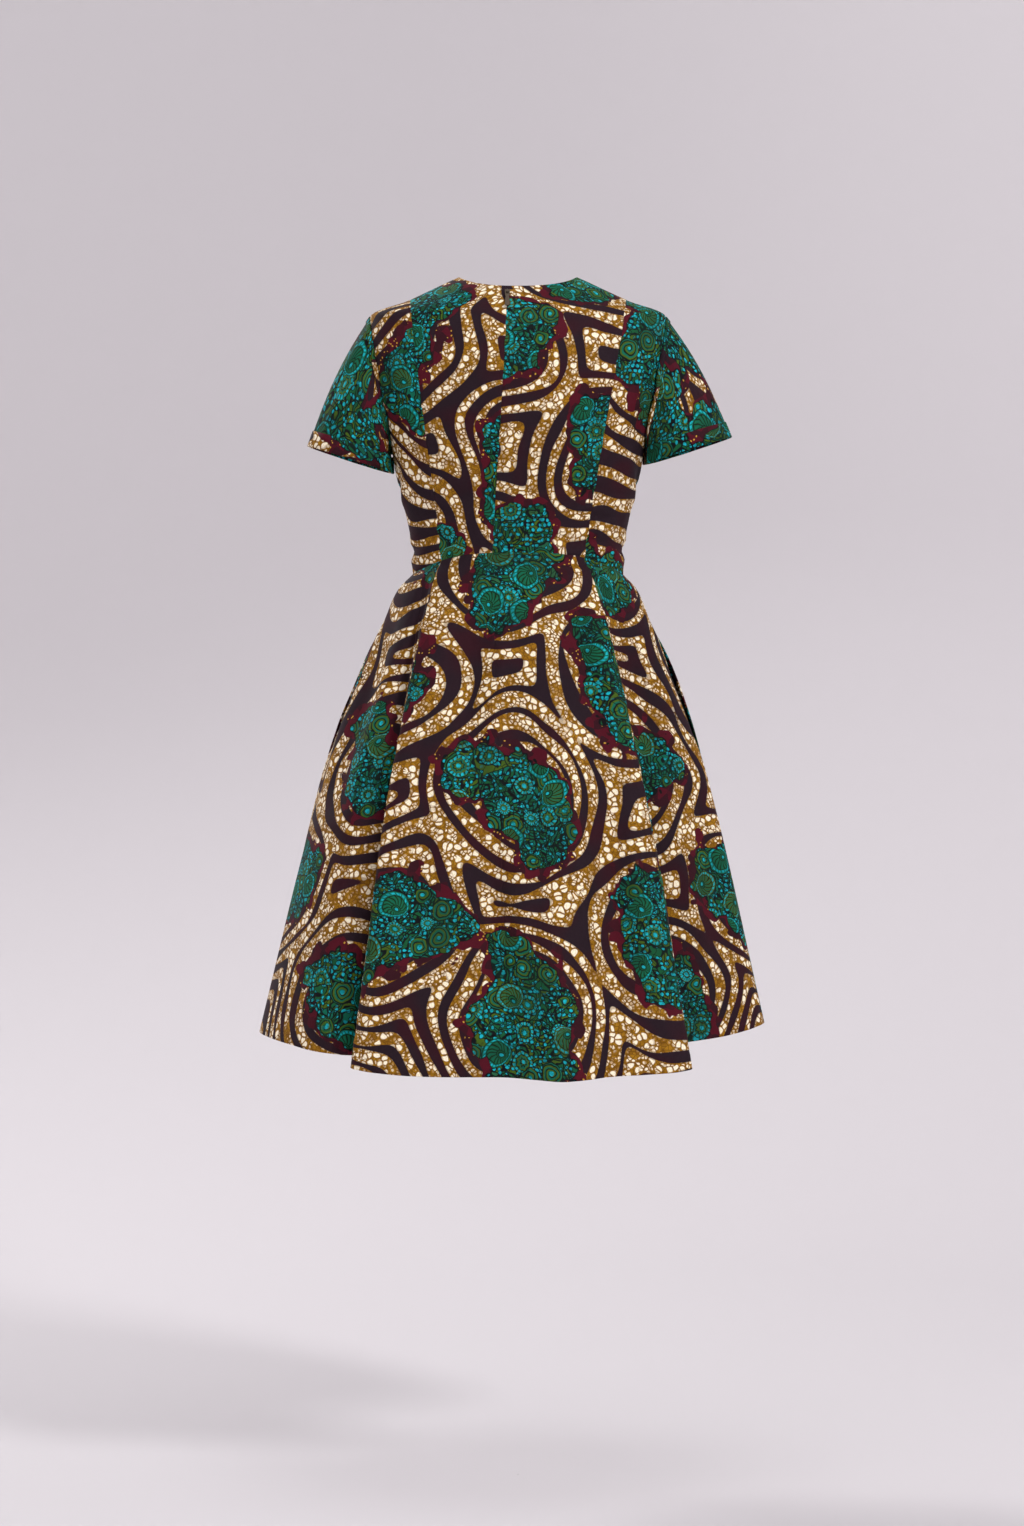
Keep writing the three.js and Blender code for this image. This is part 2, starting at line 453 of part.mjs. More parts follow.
function pullShape() {
  const p = PULL, h = p.outer / 2, w = p.inner / 2, b = p.bar / 2;
  const tab = new THREE.Shape();
  tab.moveTo(-h, b); tab.lineTo(h, b); tab.lineTo(h, -p.eye); tab.lineTo(h - 0.6, -p.eye - 3);
  tab.lineTo(h + 0.4, -p.length + 3); tab.absarc(0, -p.length + 3, h + 0.4, 0, -Math.PI, true); tab.lineTo(-h + 0.6, -p.eye - 3);
  tab.lineTo(-h, -p.eye); tab.closePath();
  tab.holes.push(new THREE.Path([[-w, -b], [-w, 0.8 - p.eye], [w, 0.8 - p.eye], [w, -b]].map((q) => new THREE.Vector2(...q))));
  const g = new THREE.ExtrudeGeometry(tab, { depth: p.wall, bevelEnabled: false, curveSegments: 6 });
  g.translate(0, 0, -p.wall / 2).rotateX(Math.PI / 2);
  return g;
}

// ---- materials ----
const cloth = new THREE.MeshStandardMaterial({ color: 0x2f6b3f, roughness: 0.85, metalness: 0 });
const pocketing = new THREE.MeshStandardMaterial({ color: 0x2a2024, roughness: 0.9, metalness: 0 });
const tape = new THREE.MeshStandardMaterial({ color: 0x1d1a1c, roughness: 0.8, metalness: 0 });
const metal = new THREE.MeshStandardMaterial({ color: 0x3a3230, roughness: 0.4, metalness: 0.8 });

// ---- the dress ----
const dress = new THREE.Group();
const cb = (z) => seamX.centreBack(z);
dress.add(middlePanel('bodice_back_left', (z) => cb(z) + SEAM, (z) => seamX.backLeft(z) - SEAM, false, 7));
dress.add(middlePanel('bodice_back_right', (z) => cb(z) - SEAM, (z) => -seamX.backRight(z) + SEAM, false, 9));
dress.add(middlePanel('bodice_front', (z) => -seamX.front(z) + SEAM, (z) => seamX.front(z) - SEAM, true, 12));
dress.add(sidePanel('bodice_side_back_left', 1, false, 'backLeft', 4));
dress.add(sidePanel('bodice_side_back_right', -1, false, 'backRight', 5));
dress.add(sidePanel('bodice_side_front_left', 1, true, 'front', 4));
dress.add(sidePanel('bodice_side_front_right', -1, true, 'front', 4));
dress.add(sleeve('sleeve_left', 1, CUFF.left, 5));
dress.add(sleeve('sleeve_right', -1, CUFF.right, 5));
dress.add(skirtPanel('skirt_back_left', seamAt.centre_back, seamAt.back_left, 9));
dress.add(skirtPanel('skirt_side_back_left', seamAt.back_left, seamAt.side_left, 14, false, true));
dress.add(skirtPanel('skirt_side_front_left', seamAt.side_left, seamAt.front_left, 15, true, false));
dress.add(skirtPanel('skirt_front', seamAt.front_left, seamAt.front_right, 16));
dress.add(skirtPanel('skirt_side_front_right', seamAt.front_right, seamAt.side_right, 15, false, true));
dress.add(skirtPanel('skirt_side_back_right', seamAt.side_right, seamAt.back_right, 17, true, false));
dress.add(skirtPanel('skirt_back_right', seamAt.back_right, seamAt.end, 11));
dress.add(pocketBag('pocket_bag_left', 'side_left', 1));
dress.add(pocketBag('pocket_bag_right', 'side_right', -1));
dress.add(zipTape('zip_tape_left', 1));
dress.add(zipTape('zip_tape_right', -1));

const zipTop = new THREE.Group();
const zipTurn = turnAt(seamX.centreBack(SLIDER.z), SLIDER.z);
const lean = ring(zipTurn, SLIDER.z + 4).sub(ring(zipTurn, SLIDER.z - 8));
zipTop.rotation.x = Math.atan2(-lean.y, lean.z);
zipTop.position.copy(ring(zipTurn, SLIDER.z)).add(V(0, Math.cos(zipTop.rotation.x), Math.sin(zipTop.rotation.x)).multiplyScalar(HINGE_LIFT));
for (const [name, shape] of [['zip_slider', sliderShape()], ['zip_pull', pullShape()]]) {
  const piece = new THREE.Mesh(shape, metal);
  piece.name = name;
  zipTop.add(piece);
}
dress.add(zipTop);

export default dress;
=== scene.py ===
"""A knee-length ankara wax print dress, worn form, with no wearer: cloth, print, seams, hems and zip."""
import math

import bpy
import numpy as np
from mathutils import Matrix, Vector


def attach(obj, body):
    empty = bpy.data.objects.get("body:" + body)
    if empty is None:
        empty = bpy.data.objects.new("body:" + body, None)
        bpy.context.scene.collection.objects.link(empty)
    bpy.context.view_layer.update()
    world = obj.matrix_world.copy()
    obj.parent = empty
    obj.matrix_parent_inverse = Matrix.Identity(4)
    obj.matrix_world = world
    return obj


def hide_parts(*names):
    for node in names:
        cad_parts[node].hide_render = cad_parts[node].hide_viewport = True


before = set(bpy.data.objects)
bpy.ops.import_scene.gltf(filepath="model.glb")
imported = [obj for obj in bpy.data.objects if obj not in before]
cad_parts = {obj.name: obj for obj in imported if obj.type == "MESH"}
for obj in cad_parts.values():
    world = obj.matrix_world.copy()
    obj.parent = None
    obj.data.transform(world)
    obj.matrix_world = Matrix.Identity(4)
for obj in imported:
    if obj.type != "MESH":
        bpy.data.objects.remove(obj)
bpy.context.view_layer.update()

# ---------------------------------------------------------------- the form of the dress, in mm
SEAM = 0.25                                     # half of the gap at a seam
TURN_SEAM, TURN_NECK, TURN_SLEEVE, TURN_CUFF, TURN_HEM, TURN_MOUTH = 9, 8, 8, 20, 25, 6
NECK_HALF, NECK_DROP_BACK, NECK_DROP_FRONT = 72, 16, 72
PRINCESS_TOP_Z, SHOULDER_TIP_Z, UNDERARM_Z, YOKE_Z = -29, -49, -212, -58
WAIST_BACK_Z, WAIST_FRONT_Z, WAIST_SIDE_Z = -342, -352, -368
CUFFS = {
    "left": dict(side=1, outer=(259, 4, -210), inner=(155.5, 2, -243), depth=52),
    "right": dict(side=-1, outer=(-263, 6, -199), inner=(-157, 2, -232), depth=52),
}
CAP_FULLNESS = 7
POCKET = dict(top=0.115, bottom=0.60, mouth_top=0.14, mouth_bottom=0.40, gape=6, depth=92, hollow=18)
ZIP_TOP, ZIP_BOTTOM, ZIP_TAPE_WIDTH = -19, -540, 12
HEM_Z = -966

# height, half width, back, front, side seam, squareness
SECTIONS = np.array([
    (0, 72, 26, -40, -8, 2.1), (-5, 83, 37, -45, -8, 2.1), (-16, 106, 52, -53, -8, 2.15),
    (-29, 134, 64, -60, -8, 2.2), (-49, 182, 77, -70, -7, 2.25), (-80, 185, 90, -84, -6, 2.3),
    (-120, 183, 98, -104, -4, 2.3), (-160, 174, 99, -120, -2, 2.3), (-195, 162, 96, -127, 0, 2.25),
    (-212, 157, 94, -126, 0, 2.2), (-244, 149.5, 89, -120, 0, 2.15), (-263, 146, 86, -114, 0, 2.1),
    (-300, 137, 81, -104, 0, 2.05), (-335, 131, 79, -99, 0, 2.0), (-370, 130, 80, -98, 0, 2.0)])
# height, back angle, front angle of the armhole edge
ARMHOLE = np.array([
    (-49, 90, 90), (-53, 85.5, 85), (-58, 81, 79.5), (-72, 75.5, 73), (-98, 70.5, 66.5), (-130, 67.5, 62.5),
    (-160, 68, 63), (-186, 72, 68), (-203, 79, 77), (-209.5, 85, 84.5), (-212, 90, 90)])
# height, centre back, back left, back right, front
SEAMS = np.array([
    (-29, 13, 133, 133, 133), (-90, 16, 126, 124, 118), (-180, 21, 115, 108, 98),
    (-270, 27, 103, 93, 90), (-356, 32, 93.5, 80, 88.6)])
# angle at the waist, x, y, z at the hem, once round from the centre back seam
HEM = np.array([
    (14.25, 12, 240, -966), (22, 55, 237, -966), (30, 97, 235, -966), (38, 150, 238, -963),
    (44, 186, 231, -959), (46, 199, 217, -957), (48.5, 190, 197, -953), (51, 173, 180, -950),
    (54, 180, 166, -948), (58, 207, 177, -946),
    (65, 240, 169, -943), (73, 276, 130, -938), (82, 306, 70, -935), (90, 321, 0, -935), (98, 312, -70, -936),
    (107, 286, -130, -938), (116, 246, -172, -942), (123, 212, -182, -945), (127, 183, -172, -948),
    (130, 172, -186, -951), (134, 190, -212, -955), (137, 205, -232, -958), (142, 178, -247, -960),
    (150, 132, -251, -963), (160, 84, -263, -965), (170, 40, -272, -966), (180, 0, -262, -965),
    (190, -40, -254, -964), (200, -80, -262, -964), (209, -120, -266, -963), (217, -164, -250, -960),
    (223, -190, -230, -957), (226, -178, -208, -954), (230, -158, -186, -950), (234, -172, -167, -946),
    (239, -206, -170, -942), (246, -240, -152, -938), (254, -272, -112, -933), (262, -296, -58, -928),
    (270, -306, -5, -925), (279, -287, 32, -929), (288, -252, 62, -935), (298, -205, 86, -940),
    (305, -166, 101, -945), (310, -150, 124, -949), (315, -163, 162, -953), (319, -190, 200, -956),
    (322, -207, 220, -958), (327, -192, 233, -960), (334, -150, 238, -963), (342, -108, 243, -965),
    (350, -82, 258, -967), (357, -52, 270, -968), (365, -22, 258, -967), (374.25, 12, 240, -966)], float)
SKIRT_SEAMS = dict(centre_back=0, back_left=5, side_left=13, front_left=21, front_right=31, side_right=39,
                   back_right=47, end=54)
# drop, side, middle
SPREAD = np.array([
    (0, 0, 0), (0.03, 0.086, 0.05), (0.1, 0.18, 0.15), (0.16, 0.26, 0.225), (0.25, 0.37, 0.33),
    (0.35, 0.49, 0.43), (0.42, 0.565, 0.50), (0.49, 0.622, 0.565), (0.68, 0.77, 0.735), (0.84, 0.885, 0.87),
    (1, 1, 1)])


def hermite(s, start, end, slope_in, slope_out):
    """A cubic between two values with a slope at each."""
    return (start * (2 * s**3 - 3 * s**2 + 1) + slope_in * (s**3 - 2 * s**2 + s)
            + end * (3 * s**2 - 2 * s**3) + slope_out * (s**3 - s**2))


def track(keys, values):
    """A monotone cubic through a table, for arrays of keys."""
    k, f = np.asarray(keys, float), np.asarray(values, float)
    if k[0] > k[-1]:
        k, f = k[::-1], f[::-1]
    step = np.diff(k)
    slope = np.diff(f) / step
    m = np.empty_like(f)
    m[0], m[-1] = slope[0], slope[-1]
    a, b = 2 * step[1:] + step[:-1], step[1:] + 2 * step[:-1]
    with np.errstate(divide="ignore", invalid="ignore"):
        inner = (a + b) / (a / slope[:-1] + b / slope[1:])
    m[1:-1] = np.where(slope[:-1] * slope[1:] <= 0, 0, inner)

    def read(at):
        q = np.clip(at, k[0], k[-1])
        i = np.clip(np.searchsorted(k, q) - 1, 0, len(k) - 2)
        return hermite((q - k[i]) / step[i], f[i], f[i + 1], m[i] * step[i], m[i + 1] * step[i])

    return read


def lerp(a, b, t):
    return a + (b - a) * t


def smooth(t, low=0.0, high=1.0):
    t = np.clip((t - low) / (high - low), 0, 1)
    return t * t * (3 - 2 * t)


def unit(v):
    return v / np.maximum(np.linalg.norm(v, axis=-1, keepdims=True), 1e-9)


def walked(points, axis=0):
    """The run along a line or a grid of points from its first one."""
    step = np.linalg.norm(np.diff(points, axis=axis), axis=-1)
    return np.concatenate([np.zeros_like(np.take(step, [0], axis)), np.cumsum(step, axis)], axis)


def row_at(grid, run, reach):
    """The row of a grid that lies a distance in from its first row."""
    return np.array([[np.interp(reach, run[:, j], grid[:, j, c]) for c in range(3)]
                     for j in range(grid.shape[1])])


half_at, back_at, front_at, side_at, square_at = (track(SECTIONS[:, 0], SECTIONS[:, c]) for c in range(1, 6))
arm_back, arm_front = (track(ARMHOLE[:, 0], ARMHOLE[:, c]) for c in (1, 2))
seam_cb, seam_bl, seam_br, seam_f = (track(SEAMS[:, 0], SEAMS[:, c]) for c in range(1, 5))
_shoulder = SECTIONS[SECTIONS[:, 0] >= SHOULDER_TIP_Z]
shoulder_z = track(_shoulder[:, 1], _shoulder[:, 0])


def ring(turn, z):
    """A point of the bodice at an angle round its section; 0 is centre back, pi centre front."""
    turn, z = np.broadcast_arrays(np.asarray(turn, float), np.asarray(z, float))
    power, s, c = 2 / square_at(z), np.sin(turn), np.cos(turn)
    depth = np.where(c >= 0, back_at(z) - side_at(z), side_at(z) - front_at(z))
    return np.stack([half_at(z) * np.sign(s) * np.abs(s) ** power,
                     side_at(z) + depth * np.sign(c) * np.abs(c) ** power, z], -1)


def ring_normal(turn, z):
    e = 0.02
    across = ring(turn + e, z) - ring(turn - e, z)
    along = ring(turn, np.minimum(z + 1.5, 0)) - ring(turn, np.maximum(z - 1.5, -370))
    return unit(np.cross(along, across))


def turn_at(x, z):
    return np.arcsin(np.minimum(1, (np.abs(x) / half_at(z)) ** (square_at(z) / 2)))


def edge_turn(z, depth):
    return math.pi / 2 - (SEAM / depth) ** (square_at(z) / 2)


def waist_z(turn):
    middle = np.where(np.cos(turn) >= 0, WAIST_BACK_Z, WAIST_FRONT_Z)
    return lerp(middle, WAIST_SIDE_Z, np.abs(np.sin(turn)) ** 3)


def top_z(x, drop):
    share = np.abs(x) / NECK_HALF
    neck = -drop * np.maximum(1 - share**2.4, 0) ** (1 / 1.7)
    return np.where(share < 1, neck, shoulder_z(np.abs(x)))


# ---- the skirt form
HEM_AT = np.concatenate([[0], np.cumsum(np.hypot(np.diff(HEM[:, 1]), np.diff(HEM[:, 2])))])
HEM_LENGTH = HEM_AT[-1]
hem_turn = track(HEM_AT, HEM[:, 0])
spread_side, spread_middle = track(SPREAD[:, 0], SPREAD[:, 1]), track(SPREAD[:, 0], SPREAD[:, 2])
AT = {name: HEM_AT[row] for name, row in SKIRT_SEAMS.items()}


def hem_point(at):
    n, h = len(HEM) - 1, np.mod(at, HEM_LENGTH)
    i = np.clip(np.searchsorted(HEM_AT, h) - 1, 0, n - 1)
    knot = lambda q: HEM_AT[np.mod(q, n)] + np.floor_divide(q, n) * HEM_LENGTH
    value = lambda q: HEM[np.mod(q, n), 1:]
    t0, t1, t2, t3 = (knot(i + d)[..., None] for d in (-1, 0, 1, 2))
    p0, p1, p2, p3 = (value(i + d) for d in (-1, 0, 1, 2))
    s = (h[..., None] - t1) / (t2 - t1)
    m1 = ((p1 - p0) / (t1 - t0) * (t2 - t1) + (p2 - p1) / (t2 - t1) * (t1 - t0)) / (t2 - t0) * (t2 - t1)
    m2 = ((p2 - p1) / (t2 - t1) * (t3 - t2) + (p3 - p2) / (t3 - t2) * (t2 - t1)) / (t3 - t1) * (t2 - t1)
    return hermite(s, p1, p2, m1, m2)


def mouth(v):
    s = (np.asarray(v, float) - POCKET["mouth_top"]) / (POCKET["mouth_bottom"] - POCKET["mouth_top"])
    return np.where((s > 0) & (s < 1), np.sin(math.pi * np.clip(s, 0, 1)) ** 0.8, 0)


def skirt_point(at, v, pushed=True):
    at, v = np.broadcast_arrays(np.asarray(at, float), np.asarray(v, float))
    turn = np.radians(hem_turn(np.mod(at, HEM_LENGTH)))
    top = ring(turn, waist_z(turn))
    top[..., 2] -= SEAM
    share = lerp(spread_middle(v), spread_side(v), np.sin(turn) ** 2)
    p = top + (hem_point(at) - top) * np.stack([share, share, v], -1)
    if pushed:
        for name, side in (("side_left", 1), ("side_right", -1)):
            ahead = side * (at - AT[name])
            here = (ahead > -0.5 * POCKET["gape"] * mouth(v)) & (ahead < 90)
            p[..., 0] += np.where(here, side * 4.5 * mouth(v) * (1 - smooth(ahead, 0, 90)), 0)
    return p


def skirt_normal(at, v):
    across = skirt_point(at + 1, v, False) - skirt_point(at - 1, v, False)
    along = skirt_point(at, np.minimum(v + 0.01, 1), False) - skirt_point(at, np.maximum(v - 0.01, 0), False)
    n = unit(np.cross(across, along))
    turn = np.radians(hem_turn(np.mod(at, HEM_LENGTH)))
    level = ring_normal(turn, waist_z(turn))
    near = smooth(v, 0.0, 0.02)[..., None]
    return unit(level * (1 - near) + n * near)


def pace(at, v):
    return np.linalg.norm(skirt_point(at + 1, v, False) - skirt_point(at - 1, v, False), axis=-1) / 2


# ---------------------------------------------------------------- cloth from grids
TURNED, CLOTH = 1.25, 0.45   # depth of a turned-in edge, thickness of the cloth


def lay_back(points, normals, flat, width, steps, depth):
    """Rows that carry the first row of a grid round its edge and back under it, as a turned edge."""
    walk = walked(points)
    out = unit(points[0] - points[1])
    rows_p, rows_n, rows_f = [], [], []
    flat_out = unit(flat[0] - flat[1])
    for off, down in ((0.12, 0.12), (0.18, 0.45), (0.12, 0.85), (-0.4, depth)):
        rows_p.append(points[0] + out * off - normals[0] * down)
        rows_n.append(normals[0])
        rows_f.append(flat[0] + flat_out * (0.0004 + down * 0.001))
    for k in range(1, steps + 1):
        reach = width * k / steps
        out_of = unit(row_at(normals, walk, reach))
        rows_p.append(row_at(points, walk, reach) - out_of * depth)
        rows_n.append(out_of)
        rows_f.append(flat[0] + flat_out * (0.0015 + reach * 0.001))
    return np.array(rows_p[::-1]), np.array(rows_n[::-1]), np.array(rows_f[::-1])


def with_edges(points, normals, flat, top=0, bottom=0, start=0, end=0):
    """Turns in the four edges of a panel by the widths given in mm; 0 leaves an edge as it is."""
    under = TURNED + 0.6                          # the level edges lie behind the upright ones
    for width, axis, flip, depth in ((start, 1, False, TURNED), (end, 1, True, TURNED),
                                     (top, 0, False, under), (bottom, 0, True, under)):
        if not width:
            continue
        g = [np.swapaxes(a, 0, 1) if axis else a for a in (points, normals, flat)]
        g = [a[::-1] if flip else a for a in g]
        extra = lay_back(*g, width, max(2, round(width / 6)), depth)
        g = [np.concatenate([e, a]) for e, a in zip(extra, g)]
        g = [a[::-1] if flip else a for a in g]
        points, normals, flat = (np.swapaxes(a, 0, 1) if axis else a for a in g)
    return points, normals, flat


def mesh_piece(name, points, flat, thickness=CLOTH, facing=None):
    """An object from a grid of points in mm, with the panel's flat cut as its UV map in metres."""
    rows, cols = points.shape[:2]
    i, j = np.meshgrid(np.arange(rows - 1), np.arange(cols - 1), indexing="ij")
    corner = i * cols + j
    quads = np.stack([corner, corner + 1, corner + cols + 1, corner + cols], -1).reshape(-1, 4)
    p = points.reshape(-1, 3) / 1000
    if facing is not None:
        mid = quads[len(quads) // 2]
        n = np.cross(p[mid[1]] - p[mid[0]], p[mid[3]] - p[mid[0]])
        if np.dot(n, facing.reshape(-1, 3)[mid[0]]) < 0:
            quads = quads[:, ::-1]
    mesh = bpy.data.meshes.new(name)
    mesh.vertices.add(len(p))
    mesh.vertices.foreach_set("co", p.astype(np.float32).ravel())
    mesh.loops.add(quads.size)
    mesh.loops.foreach_set("vertex_index", quads.astype(np.int32).ravel())
    mesh.polygons.add(len(quads))
    mesh.polygons.foreach_set("loop_start", np.arange(0, quads.size, 4, dtype=np.int32))
    layer = mesh.uv_layers.new(name="cut")
    layer.data.foreach_set("uv", flat.reshape(-1, 2)[quads.ravel()].astype(np.float32).ravel())
    mesh.update()
    mesh.validate()
    mesh.shade_smooth()
    obj = bpy.data.objects.new(name, mesh)
    bpy.context.scene.collection.objects.link(obj)
    if thickness:
        wall = obj.modifiers.new("wall", "SOLIDIFY")
        wall.thickness, wall.offset, wall.use_rim = thickness / 1000, -1, True
    return obj


def developed(points):
    """Lays a grid flat, in metres: across is the run from the middle column, down is the mean run of the
    columns, turned into a sector where the panel flares."""
    cols = points.shape[1]
    down = np.concatenate([[0], np.cumsum(np.linalg.norm(np.diff(points, axis=0), axis=-1).mean(1))])
    run = walked(points, 1)
    width = run[:, -1]
    run = run - run[:, cols // 2: cols // 2 + 1]
    fan = (width[-1] - width[0]) / max(down[-1], 1)
    if abs(fan) < 0.08:
        return np.stack([run, np.broadcast_to(-down[:, None], run.shape)], -1) / 1000
    radius = width[0] / fan + down[:, None]
    angle = run / radius
    return np.stack([radius * np.sin(angle), width[0] / fan - radius * np.cos(angle)], -1) / 1000


# ---------------------------------------------------------------- creases laid in one by one
# by side: line of (across, down) or (forward, down) points in mm, half width, depth
CREASES = {
    "back": [
        ([(-40, -322), (-70, -330), (-104, -326)], 6, 3.2),
        ([(62, -318), (86, -327), (112, -322)], 6, 2.8), ([(-8, -336), (20, -331), (52, -338)], 5, 2.0),
        ([(-30, -352), (-66, -358), (-98, -351)], 6, 2.5),
        ([(-176, -108), (-160, -140), (-146, -176)], 8, 4.0),
        ([(-170, -148), (-150, -186), (-128, -212)], 8, 3.2),
        ([(168, -112), (150, -150), (140, -190)], 8, 3.8),
        ([(158, -170), (136, -204), (120, -232)], 8, 2.8),
        ([(-96, -60), (-110, -92), (-128, -118)], 9, 2.0), ([(100, -62), (116, -96), (132, -126)], 9, 2.0),
        ([(-124, -290), (-104, -300), (-80, -296)], 7, 2.2),
        ([(118, -286), (100, -298), (76, -292)], 7, 2.0),
        ([(-60, -262), (-92, -276), (-126, -268)], 9, 1.8), ([(36, -270), (66, -278), (98, -270)], 9, 1.5),
        ([(-60, -400), (-76, -470), (-86, -560)], 18, 7.7),
        ([(48, -410), (60, -500), (66, -600)], 20, 8.2),
        ([(-14, -520), (-20, -640), (-30, -780)], 24, 10.3),
        ([(100, -560), (122, -690), (132, -820)], 21, 8.2),
        ([(-128, -450), (-150, -520), (-160, -600)], 17, 6.6),
        ([(-104, -640), (-112, -760), (-120, -880)], 20, 7.7),
        ([(20, -650), (30, -760), (34, -880)], 21, 7.7)],
    "front": [
        ([(-38, -332), (-68, -341), (-100, -334)], 6, 3.0),
        ([(30, -338), (64, -344), (102, -336)], 6, 2.8),
        ([(-168, -116), (-146, -150), (-122, -176)], 9, 3.8),
        ([(166, -112), (146, -152), (120, -180)], 9, 3.8),
        ([(-130, -232), (-108, -222), (-86, -206)], 9, 3.0),
        ([(132, -236), (108, -226), (84, -208)], 9, 3.0), ([(-46, -196), (0, -206), (48, -196)], 12, 2.2),
        ([(-116, -292), (-90, -302), (-62, -296)], 8, 2.0),
        ([(120, -288), (92, -300), (60, -296)], 8, 2.0),
        ([(-56, -410), (-66, -500), (-74, -620)], 21, 8.2),
        ([(50, -420), (62, -520), (68, -640)], 21, 8.2), ([(0, -520), (4, -660), (0, -800)], 25, 9.2),
        ([(-118, -600), (-132, -720), (-140, -860)], 21, 7.7),
        ([(112, -620), (126, -740), (136, -880)], 21, 7.7)],
    "left": [
        ([(30, -232), (4, -262), (-30, -276)], 8, 2.5), ([(40, -330), (4, -340), (-44, -332)], 7, 2.8),
        ([(34, -420), (60, -520), (82, -640)], 20, 7.7),
        ([(-40, -560), (-66, -680), (-90, -800)], 20, 7.2)],
    "right": [
        ([(30, -230), (2, -260), (-32, -272)], 8, 2.5), ([(42, -328), (2, -338), (-42, -330)], 7, 2.8),
        ([(-34, -420), (-66, -540), (-96, -680)], 20, 7.7),
        ([(36, -600), (40, -720), (44, -840)], 17, 6.2)],
}
FACING = dict(back=(0, 1, 0), front=(0, -1, 0), left=(1, 0, 0), right=(-1, 0, 0))


def creased(points, normals):
    """Soft troughs with a low ridge on each side, pressed into a form along its normals."""
    push = np.zeros(points.shape[:-1])
    laid = [(side, *crease) for side, creases in CREASES.items() for crease in creases]
    for side, line, width, depth in laid:
        across = points[..., 0] if side in ("back", "front") else points[..., 1]
        q, line = np.stack([across, points[..., 2]], -1), np.array(line, float)
        span = np.linalg.norm(np.diff(line, axis=0), axis=1)
        begun, total = walked(line), span.sum()
        best, share = np.full(push.shape, 1e9), np.zeros(push.shape)
        for k in range(len(span)):
            a, d = line[k], (line[k + 1] - line[k]) / span[k]
            t = np.clip((q - a) @ d, 0, span[k])
            away = np.linalg.norm(q - a - t[..., None] * d, axis=-1)
            closer = away < best
            best = np.where(closer, away, best)
            share = np.where(closer, (begun[k] + t) / total, share)
        w = best / width
        form = -np.exp(-(w**2)) + 0.55 * np.exp(-(((w - 1.7) / 0.8) ** 2))
        facing = smooth(normals @ np.array(FACING[side], float), 0.25, 0.6)
        push += depth * form * np.sin(np.pi * np.clip(share * 0.94 + 0.03, 0, 1)) ** 0.6 * facing
    return points + normals * push[..., None]


def puckered(points, normals, edges, seed):
    """The small gathering that a line of stitching leaves beside a seam."""
    rng = np.random.default_rng(seed)
    push = np.zeros(points.shape[:-1])
    for edge in edges:
        p = {"start": points, "end": points[:, ::-1], "top": np.swapaxes(points, 0, 1),
             "bottom": np.swapaxes(points, 0, 1)[:, ::-1]}[edge]
        away, run = walked(p, 1), walked(p[:, 0])
        phases, wave = rng.uniform(0, 2 * np.pi, 3), np.zeros_like(run)
        for length, size, phase in zip((15.5, 23, 37), (0.26, 0.3, 0.32), phases):
            wave += size * np.sin(run * 2 * np.pi / length + phase)
        wave *= smooth(run, 0, 14) * smooth(run[-1] - run, 0, 14)
        part = wave[:, None] * np.exp(-((away / 11) ** 2)) * 0.75
        push += {"start": part, "end": part[:, ::-1], "top": part.T,
                 "bottom": part[:, ::-1].T}[edge]
    return points + normals * push[..., None]


# ---------------------------------------------------------------- the panels, as grids of points and normals
def bodice_cut(turn, z):
    """The flat cut of a bodice panel, in metres: across along the sections, down along its middle line."""
    home = float(turn[turn.shape[0] // 2].mean())
    heights = np.linspace(0, -372, 280)
    line = ring(home, heights)
    down, count = np.interp(-z, -heights, walked(line)), 33
    part = np.linspace(0, 1, count)[:, None, None]
    steps = ring(home + (turn - home) * part, np.broadcast_to(z, (count,) + z.shape))
    across = np.linalg.norm(np.diff(steps, axis=0), axis=-1).sum(0) * np.sign(turn - home)
    return np.stack([across, -down], -1) / 1000


def middle_panel(from_x, to_x, front, rows=100, cols=30):
    v, f = np.linspace(0, 1, rows + 1)[:, None], np.linspace(0, 1, cols + 1)[None]
    top = top_z(lerp(from_x(0), to_x(0), f), NECK_DROP_FRONT if front else NECK_DROP_BACK)
    low_turn = turn_at(lerp(from_x(-350), to_x(-350), f), -350)
    bottom = waist_z(math.pi - low_turn if front else low_turn) + SEAM
    z = lerp(top, bottom, v**1.35)
    x = lerp(from_x(z), to_x(z), f)
    depth = np.abs((front_at(z) if front else back_at(z)) - side_at(z))
    turn = np.minimum(turn_at(x, z), edge_turn(z, depth))
    turn = np.where(x < 0, -1, 1) * (math.pi - turn if front else turn)
    round_way = np.where(turn < 0, turn + 2 * math.pi, turn) if front else turn
    return ring(turn, z), ring_normal(turn, z), bodice_cut(round_way, z)


# heights down a side panel, closer together at the underarm
SIDE_LEVELS = np.concatenate([np.arange(-62, -200, -4),
                              [-202, -205, -207.5, -209.5, -210.8, -211.6, -212, -213.5],
                              np.arange(-217, -316, -4), [-316]])


